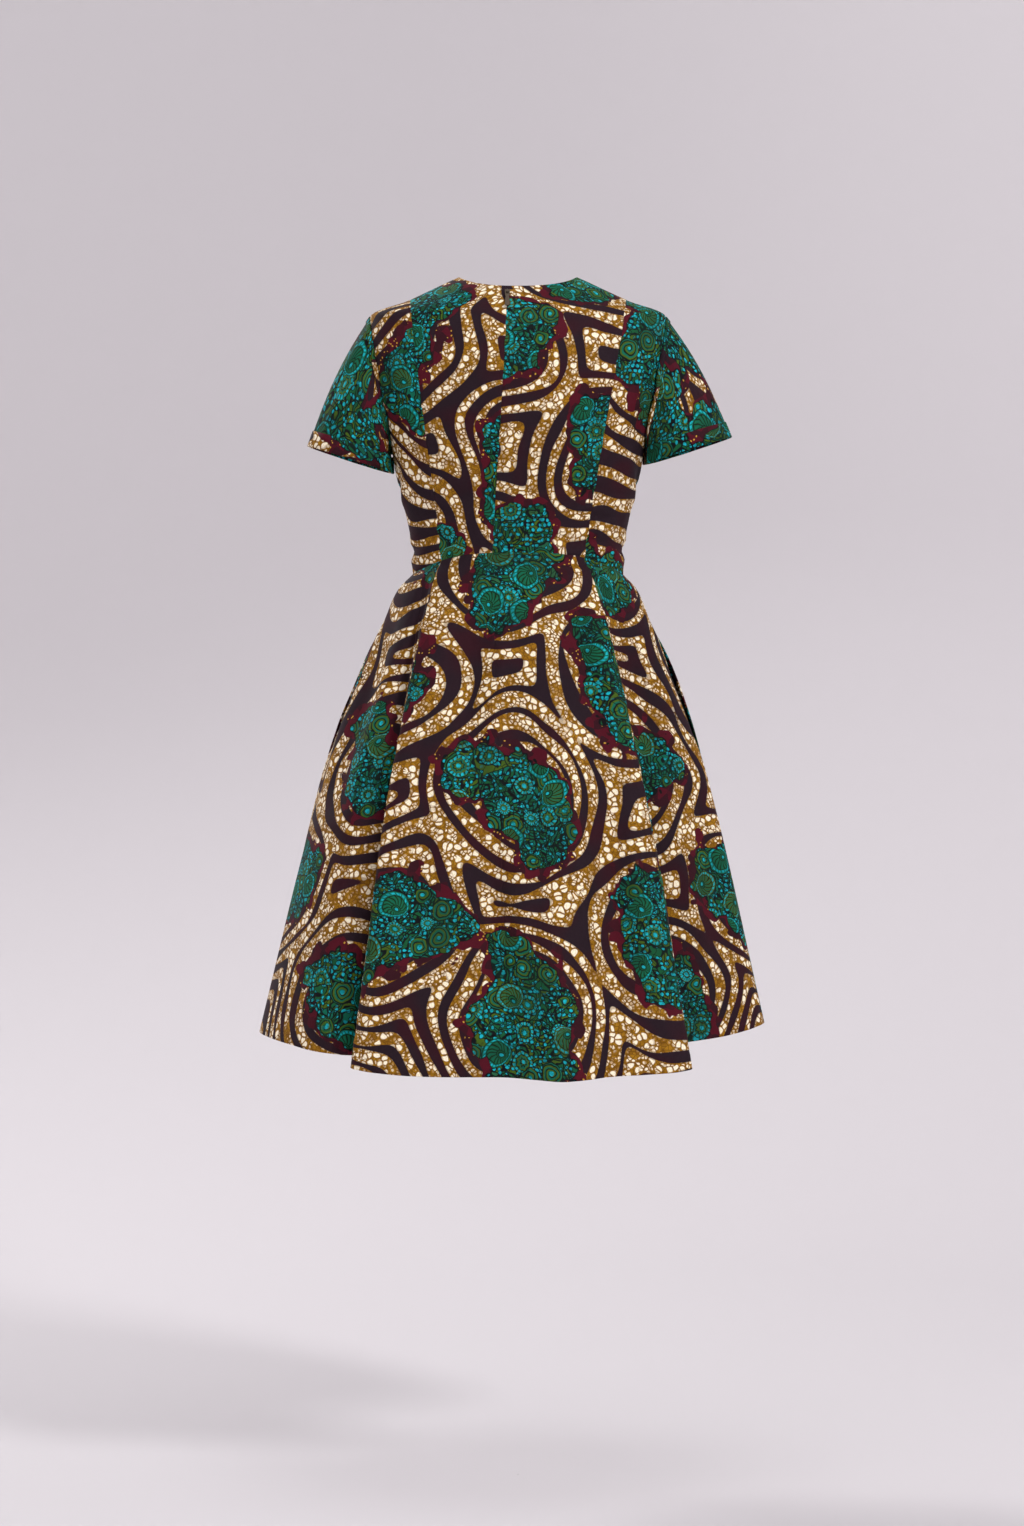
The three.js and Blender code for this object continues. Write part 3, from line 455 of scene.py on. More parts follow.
def side_panel(side, front, seam_x, cols=20):
    edge = arm_front if front else arm_back
    c = np.linspace(0, 1, cols + 1)[None]

    def turn_here(z):
        depth = np.abs((front_at(z) if front else back_at(z)) - side_at(z))
        seam = np.minimum(turn_at(seam_x(z) + SEAM, z), edge_turn(z, depth))
        arm = np.minimum(np.radians(edge(z)), edge_turn(z, depth))
        far = np.where((z > SHOULDER_TIP_Z) | (z < UNDERARM_Z), edge_turn(z, depth), arm)
        reach = np.where(z > SHOULDER_TIP_Z, (PRINCESS_TOP_Z - z) / (PRINCESS_TOP_Z - SHOULDER_TIP_Z), 1)
        part = np.where(reach > 1e-6, np.minimum(1, c / np.maximum(reach, 1e-6)), 1)
        return lerp(seam, np.maximum(far, seam + 0.004), part)

    top_here = lerp(PRINCESS_TOP_Z, SHOULDER_TIP_Z, c) - 0.4 * (1 - c)
    start = lerp(top_here, YOKE_Z, np.linspace(0, 1, 9)[:, None])
    levels = np.broadcast_to(SIDE_LEVELS[:, None], (len(SIDE_LEVELS), cols + 1))
    last = turn_here(np.full((1, cols + 1), -350.0))
    last = waist_z(math.pi - last if front else last) + SEAM
    end = lerp(-316.0, last, np.linspace(0, 1, 12)[1:, None])
    z = np.concatenate([start, levels, end])
    turn = turn_here(z)
    turn = side * (math.pi - turn if front else turn)
    return ring(turn, z), ring_normal(turn, z), bodice_cut(turn, z)


def sleeve_panel(side, cuff, rows=26):
    """A sleeve laid open along its underarm seam: shoulder in the middle, front first."""
    z = np.concatenate([np.linspace(-49, -58, 7), np.arange(-61, -200, -4),
                        [-202, -205, -207.5, -209.5, -210.8, -211.6, -212]])

    def edge(front):
        turn, into = np.radians(180 - arm_front(z) if front else arm_back(z)), 1 if front else -1
        p, n = ring(turn, z), ring_normal(turn, z)
        cloth = ring(turn + into * 0.03, z) - p
        cloth[z > SHOULDER_TIP_Z - 0.5] = (ring(turn, z + 2) - p)[z > SHOULDER_TIP_Z - 0.5]
        cloth[z < UNDERARM_Z + 0.5] = (ring(turn, z - 2) - p)[z < UNDERARM_Z + 0.5]
        off = -unit(cloth - n * np.sum(cloth * n, -1, keepdims=True))
        return [a * np.array([side, 1, 1]) for a in (p, n, off)]

    back, ahead = edge(False), edge(True)
    lb, lf = walked(back[0]), walked(ahead[0])
    angle = np.concatenate([-math.pi * (lf / lf[-1])[::-1], (math.pi * lb / lb[-1])[1:]])
    p, n, off = (np.concatenate([f[::-1], b[1:]]) for f, b in zip(ahead, back))
    under = smooth(-np.cos(angle), -0.25, 0.5)[:, None]
    start = p + off * 0.5 + n * 1.9 * under
    outer, inner = np.array(cuff["outer"], float), np.array(cuff["inner"], float)
    middle = (outer + inner) / 2
    end = middle + (outer - middle) * np.cos(angle)[:, None]
    end[:, 1] += cuff["depth"] * np.sin(angle)
    k = np.linspace(0, 1, rows + 1)[:, None]
    lift = CAP_FULLNESS * np.sin(math.pi * k**0.9) * np.maximum(0, np.cos(angle / 2)) ** 2
    round_ = 5 * np.sin(math.pi * k) * np.abs(np.sin(angle))
    grid = start + (end - start) * k[..., None]
    grid = grid + np.stack([side * lift * 0.85, np.sign(np.sin(angle)) * round_, lift * 0.5], -1)
    # soft folds that run from the sleeve head towards the cuff
    along = np.gradient(grid, axis=0)
    round_way = np.gradient(grid, axis=1)
    normal = unit(np.cross(round_way, along)) * side
    keep = smooth(np.sum(normal[0] * n, -1, keepdims=True), 0.2, 0.45)
    normal[0] = unit(lerp(normal[0], n, keep))
    folds = sum(size * np.exp(-(((angle - at - lean * k) / wide) ** 2)) for at, lean, wide, size in
                ((-1.9, 0.3, 0.16, -2.6), (-1.1, 0.25, 0.15, -1.8), (-0.35, 0.1, 0.14, -1.5),
                 (0.45, -0.1, 0.14, -1.8), (1.0, -0.3, 0.15, -2.4), (1.75, -0.35, 0.18, -3.0),
                 (2.3, -0.2, 0.16, -2.0)))
    push = folds * np.sin(math.pi * np.clip(k * 0.9 + 0.05, 0, 1)) ** 0.8
    return grid + normal * push[..., None], normal


def skirt_panel(start, end, cols, rows=150, start_mouth=False, end_mouth=False):
    v, u = np.linspace(0, 1, rows + 1)[:, None], np.linspace(0, 1, cols + 1)[None]
    a = start + (SEAM + (POCKET["gape"] * mouth(v) if start_mouth else 0)) / pace(start, v)
    b = end - (SEAM + (POCKET["gape"] * mouth(v) if end_mouth else 0)) / pace(end, v)
    at = lerp(a, b, u)
    return skirt_point(at, v), skirt_normal(at, v)


def pocket_bag(home, side, rows=44, cols=64):
    """One folded bag: its inner half lies deeper, the fold is in the middle, both ends reach the mouth."""
    wall, thin, slack = 1.5, 1.0, 1.6
    fold_from, fold_wide, fold_to = 0.44, 0.12, 0.56
    s, q = np.linspace(0, 1, rows + 1)[:, None], np.linspace(0, 1, cols + 1)[None]
    v = lerp(POCKET["top"], POCKET["bottom"], s)
    reach = POCKET["depth"] * (0.30 + 0.70 * np.sin(math.pi * np.minimum(1, 0.12 + s * 0.95)) ** 0.7)
    full = np.maximum(np.sin(math.pi * np.minimum(1, 0.04 + s * 0.93)), 0) ** 0.6
    hollow = slack + (POCKET["hollow"] - slack) * full
    near, opened = wall + 1.8, POCKET["gape"] * mouth(v)
    bend = np.clip((q - fold_from) / fold_wide, 0, 1) * math.pi
    r, first, last = (hollow + thin) / 2, q < fold_from, q > fold_to
    far = reach - hollow / 2
    along = np.where(first, lerp(-opened - 5, far, np.clip(q / fold_from, 0, 1) ** 1.8),
                     np.where(last, lerp(far, opened + 1.5, np.clip((q - fold_to) / fold_from, 0, 1)),
                              far + r * np.sin(bend)))
    deep = np.where(first, near + hollow + thin, np.where(last, near, near + r + r * np.cos(bend)))
    join = smooth((along + opened + 4.5) / 7.0)
    deep = np.where(first, lerp(near + thin, deep, join), deep)
    at = home + side * along / pace(home, v)
    n = skirt_normal(at, v)
    inner_half = skirt_point(at, v, False) - n * deep[..., None]
    outer_half = skirt_point(at, v, True) - n * deep[..., None]
    p = np.where((q > 0.5)[..., None] & np.ones_like(v, bool)[..., None], outer_half, inner_half)
    out = unit(np.cross(np.gradient(p, axis=1), np.gradient(p, axis=0))) * side
    return p + out * 0.5, out


# ---------------------------------------------------------------- materials
def tone(r, g, b):
    """A colour from its display values."""
    line = lambda c: c / 12.92 if c <= 0.04045 else ((c + 0.055) / 1.055) ** 2.4
    return (line(r / 255), line(g / 255), line(b / 255), 1)


class Value:
    """A shader socket that takes part in sums."""

    def __init__(self, finish, socket):
        self.finish, self.socket = finish, socket

    def sum(self, operation, a, b):
        return self.finish.node("ShaderNodeMath", dict(operation=operation), Value=a, Value_001=b)

    def __add__(self, o): return self.sum("ADD", self, o)
    def __radd__(self, o): return self.sum("ADD", o, self)
    def __sub__(self, o): return self.sum("SUBTRACT", self, o)
    def __rsub__(self, o): return self.sum("SUBTRACT", o, self)
    def __mul__(self, o): return self.sum("MULTIPLY", self, o)
    def __rmul__(self, o): return self.sum("MULTIPLY", o, self)
    def __truediv__(self, o): return self.sum("DIVIDE", self, o)
    def least(self, o): return self.sum("MINIMUM", self, o)
    def most(self, o): return self.sum("MAXIMUM", self, o)

    def below(self, level, soft=0.35):
        """1 where the value is under the level, 0 over it, with a soft edge."""
        return self.finish.node("ShaderNodeMath", dict(operation="MULTIPLY_ADD", use_clamp=True),
                                Value=level - self, Value_001=0.5 / soft, Value_002=0.5)

    def above(self, level, soft=0.35):
        return 1 - self.below(level, soft)

    def wrapped(self):
        return self.sum("FRACT", self, 0.0)

    def size(self):
        return self.sum("ABSOLUTE", self, 0.0)

    def ripple(self):
        """0 halfway through each whole step of the value, 0.5 at its ends."""
        return (self.wrapped() - 0.5).size()


class Finish:
    """A material under construction."""

    def __init__(self, name):
        self.material = bpy.data.materials.new(name)
        self.material.use_nodes = True
        self.tree = self.material.node_tree
        self.tree.nodes.clear()

    def node(self, kind, settings=None, result=0, **sockets):
        n = self.tree.nodes.new(kind)
        for key, value in (settings or {}).items():
            setattr(n, key, value)
        for key, value in sockets.items():
            by_id = [i for i in n.inputs if i.identifier == key]
            target = by_id[0] if by_id else n.inputs[key.replace("_", " ")]
            if isinstance(value, Value):
                self.tree.links.new(value.socket, target)
            else:
                target.default_value = value
        if isinstance(result, (list, tuple)):
            return [Value(self, n.outputs[r]) for r in result]
        return Value(self, n.outputs[result]) if n.outputs else n

    def mix(self, mask, over, under):
        """over where the mask is 1, under where it is 0."""
        return self.node("ShaderNodeMix", dict(data_type="RGBA"), result=2, Factor_Float=mask, A_Color=under,
                         B_Color=over)

    def vector(self, operation, a, b=None, scale=None, result=0):
        more = {}
        if b is not None:
            more["Vector_001"] = b
        if scale is not None:
            more["Scale"] = scale
        return self.node("ShaderNodeVectorMath", dict(operation=operation), result=result, Vector=a, **more)

    def channels(self, colour, *which):
        """Channels of a cell's own colour, each a random number for that cell."""
        return [self.node("ShaderNodeSeparateColor", result=k, Color=colour) for k in which]

    def bearing(self, vector):
        x, y = [self.node("ShaderNodeSeparateXYZ", result=k, Vector=vector) for k in (0, 1)]
        return self.node("ShaderNodeMath", dict(operation="ARCTAN2"), Value=y, Value_001=x)

    def cells(self, at, size, feature="F1", result="Distance", shake=1.0):
        """Scattered cells of about a size in mm; distances come back in mm."""
        names = [result] if isinstance(result, str) else list(result)
        out = self.node("ShaderNodeTexVoronoi", dict(feature=feature, voronoi_dimensions="2D"), result=names,
                        Vector=at, Scale=1 / size, Randomness=shake)
        out = [o * size if n == "Distance" else o for o, n in zip(out, names)]
        return out[0] if isinstance(result, str) else out

    def cloud(self, at, size, detail=1.0, result=0):
        return self.node("ShaderNodeTexNoise", dict(noise_dimensions="2D"), result=result, Vector=at,
                         Scale=1 / size, Detail=detail)

    def close(self, colour, roughness, bump=None, metallic=0.0, shine=0.5):
        more = {} if bump is None else {"Normal": bump}
        shade = self.node("ShaderNodeBsdfPrincipled", Base_Color=colour, Roughness=roughness,
                          Metallic=metallic, Specular_IOR_Level=shine, **more)
        self.node("ShaderNodeOutputMaterial", Surface=shade)
        return self.material


CREAM = tone(250, 240, 214)
OCHRE, OCHRE_LOW, OCHRE_DEEP = tone(158, 112, 22), tone(126, 84, 12), tone(88, 54, 6)
AUBERGINE, BLACK, MAROON, MAROON_LOW = tone(34, 20, 28), tone(8, 10, 14), tone(76, 10, 26), tone(48, 12, 22)
OLIVE, LEAF, TEAL, DEEP_GREEN = tone(66, 92, 22), tone(18, 86, 50), tone(8, 98, 76), tone(6, 40, 30)
TURQUOISE, TURQUOISE_LOW, GOLD = tone(22, 176, 190), tone(10, 136, 146), tone(196, 152, 52)


ROUND = 1 / (2 * math.pi)
LOBE, SPRIG, BEAD, LEAF_CELL = 33.0, 13.0, 6.2, 60.0      # sizes of the motifs' cells in mm


def field(f, circles, at, soft):
    """The distance in mm to the nearest of some circles, run together softly where they meet."""
    total = None
    for x, y, r in circles:
        one = f.vector("DISTANCE", at, (x, y, 0), result="Value") - r
        if total is None:
            total = one
        else:
            total = f.node("ShaderNodeMath", dict(operation="SMOOTH_MIN"), Value=total, Value_001=one,
                           Value_002=soft)
    return total


def gold_ground(f, here, cell_at):
    """Cream bubbles in a network of ochre, at two sizes."""
    wide, narrow = 9.4, 4.8
    big_edge, small_edge = (f.cells(cell_at, size, "DISTANCE_TO_EDGE") for size in (wide, narrow))
    big, big_hue = f.cells(cell_at, wide, result=("Distance", "Color"))
    small = f.cells(cell_at, narrow)
    coarse, = f.channels(big_hue, 0)
    patch = f.cloud(here, 30.0, 1.0)
    large = (patch + (coarse - 0.5) * 0.35).above(0.49, 0.04)
    cream_big = (big_edge - 1.0).least(3.9 - big).above(0.0, 0.35)
    cream_small = (small_edge - 0.62).least(1.75 - small).above(0.0, 0.28)
    cream_small = cream_small * (coarse * 0.5 + patch).above(0.55, 0.12)
    ochre = f.mix(f.cloud(here, 7.0, 2.0).above(0.5, 0.14), OCHRE, OCHRE_LOW)
    ochre = f.mix(small_edge.below(0.4, 0.25) * 0.75, OCHRE_DEEP, ochre)
    crackle = f.cells(cell_at, 3.4, "DISTANCE_TO_EDGE").below(0.12, 0.1)
    cream = f.mix(crackle * 0.5, OCHRE, CREAM)
    bubbles = cream_big * large + cream_small * (1 - large)
    return patch, coarse, bubbles, cream, ochre


def leaf_layer(f, cell_at, shade):
    """Large paisleys and leaves, one to a wide cell, with outlines, curved veins and a bright eye."""
    leaf, leaf_hue, leaf_at = f.cells(cell_at, LEAF_CELL, result=("Distance", "Color", "Position"),
                                      shake=0.75)
    which, aim = f.channels(leaf_hue, 0, 1)
    bend = f.bearing(f.vector("SUBTRACT", cell_at, leaf_at)) - aim * (2 * math.pi) + leaf * 0.035
    drop = leaf / (f.node("ShaderNodeMath", dict(operation="COSINE"), Value=bend) * 0.34 + 0.66)
    whole_leaf = drop.below(25.0, 0.3) * which.above(0.28, 0.01)
    veins = (bend * (16 * ROUND) + drop * 0.035).ripple()
    body = f.mix(veins.below(0.12, 0.04), BLACK, f.mix(which.above(0.62, 0.02), LEAF, OLIVE))
    body = f.mix(veins.above(0.34, 0.04) * drop.below(17.0, 0.4), TEAL, body)
    body = f.mix(drop.above(17.6, 0.3), BLACK, body)
    border = f.mix(which.above(0.5, 0.02), TEAL, OLIVE)
    body = f.mix(drop.above(18.6, 0.3) * drop.below(23.6, 0.3), border, body)
    pearls = (bend * (24 * ROUND)).ripple() * 4.2
    body = f.mix(pearls.most((drop - 21.0).size()).below(1.35, 0.25), shade, body)
    body = f.mix(drop.below(7.4, 0.3), BLACK, body)
    body = f.mix((drop * 0.36).ripple().above(0.2, 0.06) * drop.below(6.4, 0.3), LEAF, body)
    body = f.mix(drop.below(3.0, 0.3), shade, body)
    return whole_leaf, body


def wax_print(name, greens, hearts, seed, period=26.0, share=0.44, halo=13.0):
    """Green lobed masses of rosettes, beads and leaves on fields of dark bands over crackled gold.
    greens: circles (across, down, radius) in mm on the flat cut that the masses fill.
    hearts: circles that the bands run round."""
    f = Finish(name)
    cut = f.node("ShaderNodeUVMap", dict(uv_map="cut"))
    flat = f.vector("SCALE", cut, scale=1000.0)
    here = f.vector("ADD", flat, (seed * 517.0, seed * 291.0, 0))
    drift = f.vector("SUBTRACT", f.cloud(here, 120.0, 0.0, "Color"), (0.5, 0.5, 0.5))
    fine_drift = f.vector("SUBTRACT", f.cloud(here, 13.0, 1.0, "Color"), (0.5, 0.5, 0.5))
    bent = f.vector("ADD", flat, f.vector("SCALE", drift, scale=46.0))
    cell_at = f.vector("ADD", here, f.vector("SCALE", fine_drift, scale=5.0))
    mass = field(f, greens, bent, 20.0)
    lobe, lobe_hue, lobe_at = f.cells(cell_at, LOBE, result=("Distance", "Color", "Position"), shake=0.85)
    sprig, sprig_hue = f.cells(cell_at, SPRIG, result=("Distance", "Color"), shake=0.9)
    lobe_edge = f.cells(cell_at, LOBE, "DISTANCE_TO_EDGE", shake=0.85)
    sprig_edge = f.cells(cell_at, SPRIG, "DISTANCE_TO_EDGE", shake=0.9)
    pick, pick_2, pick_3 = f.channels(lobe_hue, 0, 1, 2)
    small_pick, = f.channels(sprig_hue, 0)
    patch, coarse, bubbles, cream, ochre = gold_ground(f, here, cell_at)

    # ---- bands
    phase = (field(f, hearts, bent, 26.0) - halo) / period + (f.cloud(here, 150.0, 0.0) - 0.5) * 1.1
    swell = f.cloud(f.vector("ADD", here, (91.0, 37.0, 0)), 85.0, 1.0)
    width = (swell - 0.5 + share).most(0.0)
    inside = (phase.ripple() - width * 0.5) * period      # mm outside the dark band, negative within it
    rim = inside.above(0.0, 0.2) * inside.below(1.5, 0.5)
    gold = f.mix(bubbles * (1 - rim * 0.6), cream, ochre)
    night = f.mix(f.cloud(here, 60.0, 1.0).above(0.56, 0.12) * 0.8, MAROON_LOW, AUBERGINE)
    print_ = f.mix(inside.below(0.0, 0.3), night, gold)

    # ---- green masses: a maroon border, strokes and rosettes, turquoise beads, then leaves over them
    mass = mass + (lobe - 13.0) * 0.62 + (sprig - 4.6) * 0.5
    hem_ = mass.above(0.0, 0.3) * mass.below((patch - 0.34) * 30.0 + 3.5, 0.5)
    grain = f.cells(cell_at, BEAD).below(1.0, 0.25) * coarse.above(0.84, 0.02)
    wine = f.mix(grain, GOLD, f.mix(small_pick.above(0.5, 0.1), MAROON, MAROON_LOW))
    print_ = f.mix(hem_, wine, print_)
    angle = f.bearing(f.vector("SUBTRACT", cell_at, lobe_at))
    scroll = pick_2.above(0.42, 0.01)                     # some cells are volutes, the rest rosettes
    petal = (angle * (8 * ROUND) + pick).ripple() * (1 - scroll)
    rings = (lobe * 0.2 + angle * ROUND * scroll + pick_3 + petal * 0.8).wrapped()
    ring_line = (rings - 0.5).size().above(0.36, 0.05)
    rosette = lobe.below(pick * 7.0 + 8.5, 0.4) * pick_3.above(0.25, 0.01)
    flow_at = f.vector("ADD", here, f.vector("SCALE", fine_drift, scale=9.0))
    flow = f.cloud(flow_at, 30.0, 0.0) * 9.0 + lobe * 0.06
    strokes = flow.ripple()
    strand = (flow * 0.5).wrapped().above(0.5, 0.02)
    ground = f.mix(strand, LEAF, f.mix(pick.above(0.5, 0.05), OLIVE, TEAL))
    ground = f.mix(strokes.above(0.31, 0.06), BLACK, ground)
    inner = f.mix(rings.above(0.5, 0.05), OLIVE, f.mix(pick.above(0.45, 0.05), TEAL, LEAF))
    inner = f.mix(ring_line, BLACK, inner)
    ground = f.mix(rosette, inner, ground)
    ground = f.mix((lobe - pick * 7.0 - 8.5).size().below(0.65, 0.25), BLACK, ground)
    bubble, bubble_hue = f.cells(cell_at, BEAD, result=("Distance", "Color"), shake=0.8)
    plump, = f.channels(bubble_hue, 1)
    bubble_on = (plump + small_pick * 0.5).above(0.55, 0.03) * (1 - rosette * 0.6).above(0.5, 0.02)
    ball = bubble - plump * 1.5 - 0.75
    shade = f.mix(f.cloud(here, 5.0, 1.0).above(0.5, 0.1), TURQUOISE, TURQUOISE_LOW)
    green = f.mix(ball.below(0.9, 0.2) * bubble_on, BLACK, ground)
    green = f.mix(ball.below(0.1, 0.25) * bubble_on, shade, green)
    beads = (angle * (14 * ROUND) + pick).ripple() * 5.2
    bead = beads.most((lobe - pick * 7.0 - 5.6).size())
    green = f.mix(bead.below(1.6, 0.25) * rosette * (1 - scroll), shade, green)
    green = f.mix(lobe.below(2.6, 0.3) * rosette, shade, green)
    fan = (angle * (20 * ROUND)).ripple().below(0.15, 0.05) * (1 - rosette) * pick.below(0.35, 0.02)
    green = f.mix(fan, BLACK, green)
    whole_leaf, body = leaf_layer(f, cell_at, shade)
    green = f.mix(whole_leaf, body, green)
    twigs = sprig_edge.below(0.35, 0.2) * pick_3.below(0.5, 0.05)
    green = f.mix((1 - whole_leaf) * lobe_edge.below(0.6, 0.25).most(twigs), BLACK, green)
    green = f.mix(f.cloud(here, 48.0, 1.0).above(0.54, 0.12) * 0.4, DEEP_GREEN, green)
    print_ = f.mix(mass.below(0.0, 0.3), green, print_)
    print_ = f.mix(mass.size().below(0.6, 0.3), BLACK, print_)

    weave = f.node("ShaderNodeTexNoise", {}, Vector=flat, Scale=1.35, Detail=2.0)
    bump = f.node("ShaderNodeBump", {}, Strength=0.16, Distance=0.0003, Height=weave)
    rough = 0.78 + f.cloud(here, 3.0, 1.0) * 0.12
    return f.close(print_, rough, bump, shine=0.16)


def plain(name, colour, roughness=0.85, metallic=0.0, grain=None):
    f = Finish(name)
    bump = None
    if grain:
        place = f.node("ShaderNodeTexCoord", result="Object")
        weave = f.node("ShaderNodeTexNoise", {}, Vector=place, Scale=grain, Detail=2.0)
        bump = f.node("ShaderNodeBump", {}, Strength=0.2, Distance=0.0003, Height=weave)
    return f.close(colour, roughness, bump, metallic)


# ---------------------------------------------------------------- the print laid out on each panel
def half_drop(flat, seed, across=166.0, down=290.0, size=56.0):
    """Clumps in a half-drop repeat over a flat cut, in mm: the circles that they fill, and those that the
    bands run round. Every clump is turned, shifted and sized a little differently."""
    rng = np.random.default_rng(int(seed * 101) + 5)
    beyond, shift, on_cut = 60, 20, flat.reshape(-1, 2) * 1000
    low, high = on_cut.min(0) - beyond, on_cut.max(0) + beyond
    start = low - rng.uniform(0, 1, 2) * (across, down)
    fills, rounds = [], []
    for column in range(int((high[0] - start[0]) / across) + 2):
        for row in range(-1, int((high[1] - start[1]) / down) + 2):
            middle = start + (column * across, (row + 0.5 * (column % 2)) * down)
            middle = middle + rng.uniform(-shift, shift, 2)
            turn, arm, scale = rng.uniform(0, 2 * math.pi), rng.uniform(34, 50), rng.uniform(0.85, 1.12)
            if not ((low < middle) & (middle < high)).all():
                continue
            reach = arm * np.array([math.cos(turn), math.sin(turn)])
            bend = rng.uniform(-0.6, 0.6) * np.array([-reach[1], reach[0]])
            for step, share in ((1.2, 0.72), (0.1, 1.0), (-1.1, 0.82)):
                x, y = middle + step * reach + abs(step) * bend
                fills.append((float(x), float(y), float(size * scale * share)))
            rounds.append((float(middle[0]), float(middle[1]), float(size * 0.6)))
    return fills, rounds


CUTS, SHAPED = {}, {}                             # each panel's cut, and its points once creased


def cut_size(flat):
    """The cut that shows: width, length and area in metres."""
    size = flat.reshape(-1, 2).max(0) - flat.reshape(-1, 2).min(0)
    a, b, c, d = flat[:-1, :-1], flat[:-1, 1:], flat[1:, 1:], flat[1:, :-1]
    cross = lambda u, w: u[..., 0] * w[..., 1] - u[..., 1] * w[..., 0]
    area = float(np.abs(cross(c - a, d - b)).sum() / 2)
    return float(size[0]), float(size[1]), min(area, float(size[0] * size[1]))


def noted_cut(node, flat):
    w, l, area = cut_size(flat)
    CUTS[node] = (round(w, 3), round(l, 3), round(area, 4))
    return w, l, area


def cloth_panel(node, points, normals, flat, material, edges, pucker, seed):
    w, l, area = noted_cut(node, flat)
    shaped = creased(puckered(points, normals, pucker, seed), normals)
    p, n, uv = with_edges(shaped, normals, flat, **edges)
    obj = mesh_piece(node + "_cloth", p, uv, facing=n)
    obj.data.materials.append(material)
    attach(obj, "dress")
    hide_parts(node)
    SHAPED[node] = shaped


# ---- the bodice
back_left = middle_panel(lambda z: seam_cb(z) + SEAM, lambda z: seam_bl(z) - SEAM, False, cols=26)
back_right = middle_panel(lambda z: seam_cb(z) - SEAM, lambda z: -seam_br(z) + SEAM, False, cols=34)
front_mid = middle_panel(lambda z: -seam_f(z) + SEAM, lambda z: seam_f(z) - SEAM, True, cols=56)

BODICE = {
    "bodice_back_left": (back_left, 27.0), "bodice_back_right": (back_right, 44.0),
    "bodice_side_back_left": (side_panel(1, False, seam_bl), 3.0),
    "bodice_side_back_right": (side_panel(-1, False, seam_br), 4.0),
    "bodice_front": (front_mid, 5.0),
    "bodice_side_front_left": (side_panel(1, True, seam_f), 6.0),
    "bodice_side_front_right": (side_panel(-1, True, seam_f), 7.0),
}
for node, ((p, n, flat), seed) in BODICE.items():
    pucker = ["start", "bottom"] + ([] if "side" in node else ["end"])
    cloth_panel(node, p, n, flat, wax_print(node + " print", *half_drop(flat, seed), seed),
                dict(start=TURN_SEAM, end=TURN_SEAM, top=TURN_NECK, bottom=TURN_SEAM), pucker, int(seed * 7))

# ---- the sleeves
for name, seed in (("left", 8.0), ("right", 9.0)):
    node = "sleeve_" + name
    p, n = sleeve_panel(CUFFS[name]["side"], CUFFS[name])
    flat = developed(p)
    skin_ = wax_print(node + " print", *half_drop(flat, seed, 120.0, 150.0, 46.0), seed, period=22.0)
    turned = dict(start=TURN_SLEEVE, end=TURN_SLEEVE, top=TURN_SLEEVE, bottom=TURN_CUFF)
    cloth_panel(node, p, n, flat, skin_, turned, ["top"], int(seed * 7))

# ---- the skirt; its two centre back panels are cut as one layout, so the print runs on across their seam
right_back = skirt_panel(AT["back_right"], AT["end"], 72)
left_back = skirt_panel(AT["centre_back"], AT["back_left"], 56)
whole = developed(np.concatenate([right_back[0], left_back[0]], 1))
columns = right_back[0].shape[1]
skin_back = wax_print("skirt back print", *half_drop(whole, 10.0), 10.0)
# from, to, columns, seed; a panel that meets a pocket mouth has a narrower turned edge there
SKIRT = {
    "skirt_back_right": ("back_right", "end", 72, 10.0),
    "skirt_back_left": ("centre_back", "back_left", 56, 10.0),
    "skirt_side_back_left": ("back_left", "side_left", 78, 11.0),
    "skirt_side_back_right": ("side_right", "back_right", 92, 12.0),
    "skirt_side_front_left": ("side_left", "front_left", 80, 13.0),
    "skirt_front": ("front_left", "front_right", 112, 14.0),
    "skirt_side_front_right": ("front_right", "side_right", 80, 15.0),
}
for node, (start, end, count, seed) in SKIRT.items():
    at_mouth = [name.startswith("side_") for name in (start, end)]
    p, n = skirt_panel(AT[start], AT[end], count, start_mouth=at_mouth[0], end_mouth=at_mouth[1])
    if node in ("skirt_back_right", "skirt_back_left"):
        flat = whole[:, :columns] if node == "skirt_back_right" else whole[:, columns:]
        skin_ = skin_back
    else:
        flat = developed(p)
        skin_ = wax_print(node + " print", *half_drop(flat, seed), seed)
    turned = [TURN_MOUTH if mouth_here else TURN_SEAM for mouth_here in at_mouth]
    pucker = ["top", "bottom"] + [edge for edge, here in zip(("start", "end"), at_mouth) if not here]
    cloth_panel(node, p, n, flat, skin_,
                dict(start=turned[0], end=turned[1], top=TURN_SEAM, bottom=TURN_HEM), pucker, len(node))

# ---- pocket bags
pocketing = plain("pocket cotton", tone(44, 34, 38), 0.9, grain=900)
for node, home, side in (("pocket_bag_left", AT["side_left"], 1), ("pocket_bag_right", AT["side_right"], -1)):
    p, n = pocket_bag(home, side)
    flat = developed(p)
    w, l, area = noted_cut(node, flat)
    obj = mesh_piece(node + "_cloth", p, flat, facing=n)
    obj.data.materials.append(pocketing)
    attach(obj, "dress")
    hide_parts(node)

# ---- zip tapes
def zip_heights(top, bottom, step, fine):
    """Heights down the zip, closer together where it crosses the waist seam."""
    above, below = np.arange(top, -332, -step), np.arange(-359, bottom, -step)
    return np.concatenate([above, np.arange(-333, -358, -fine), below]).astype(float)


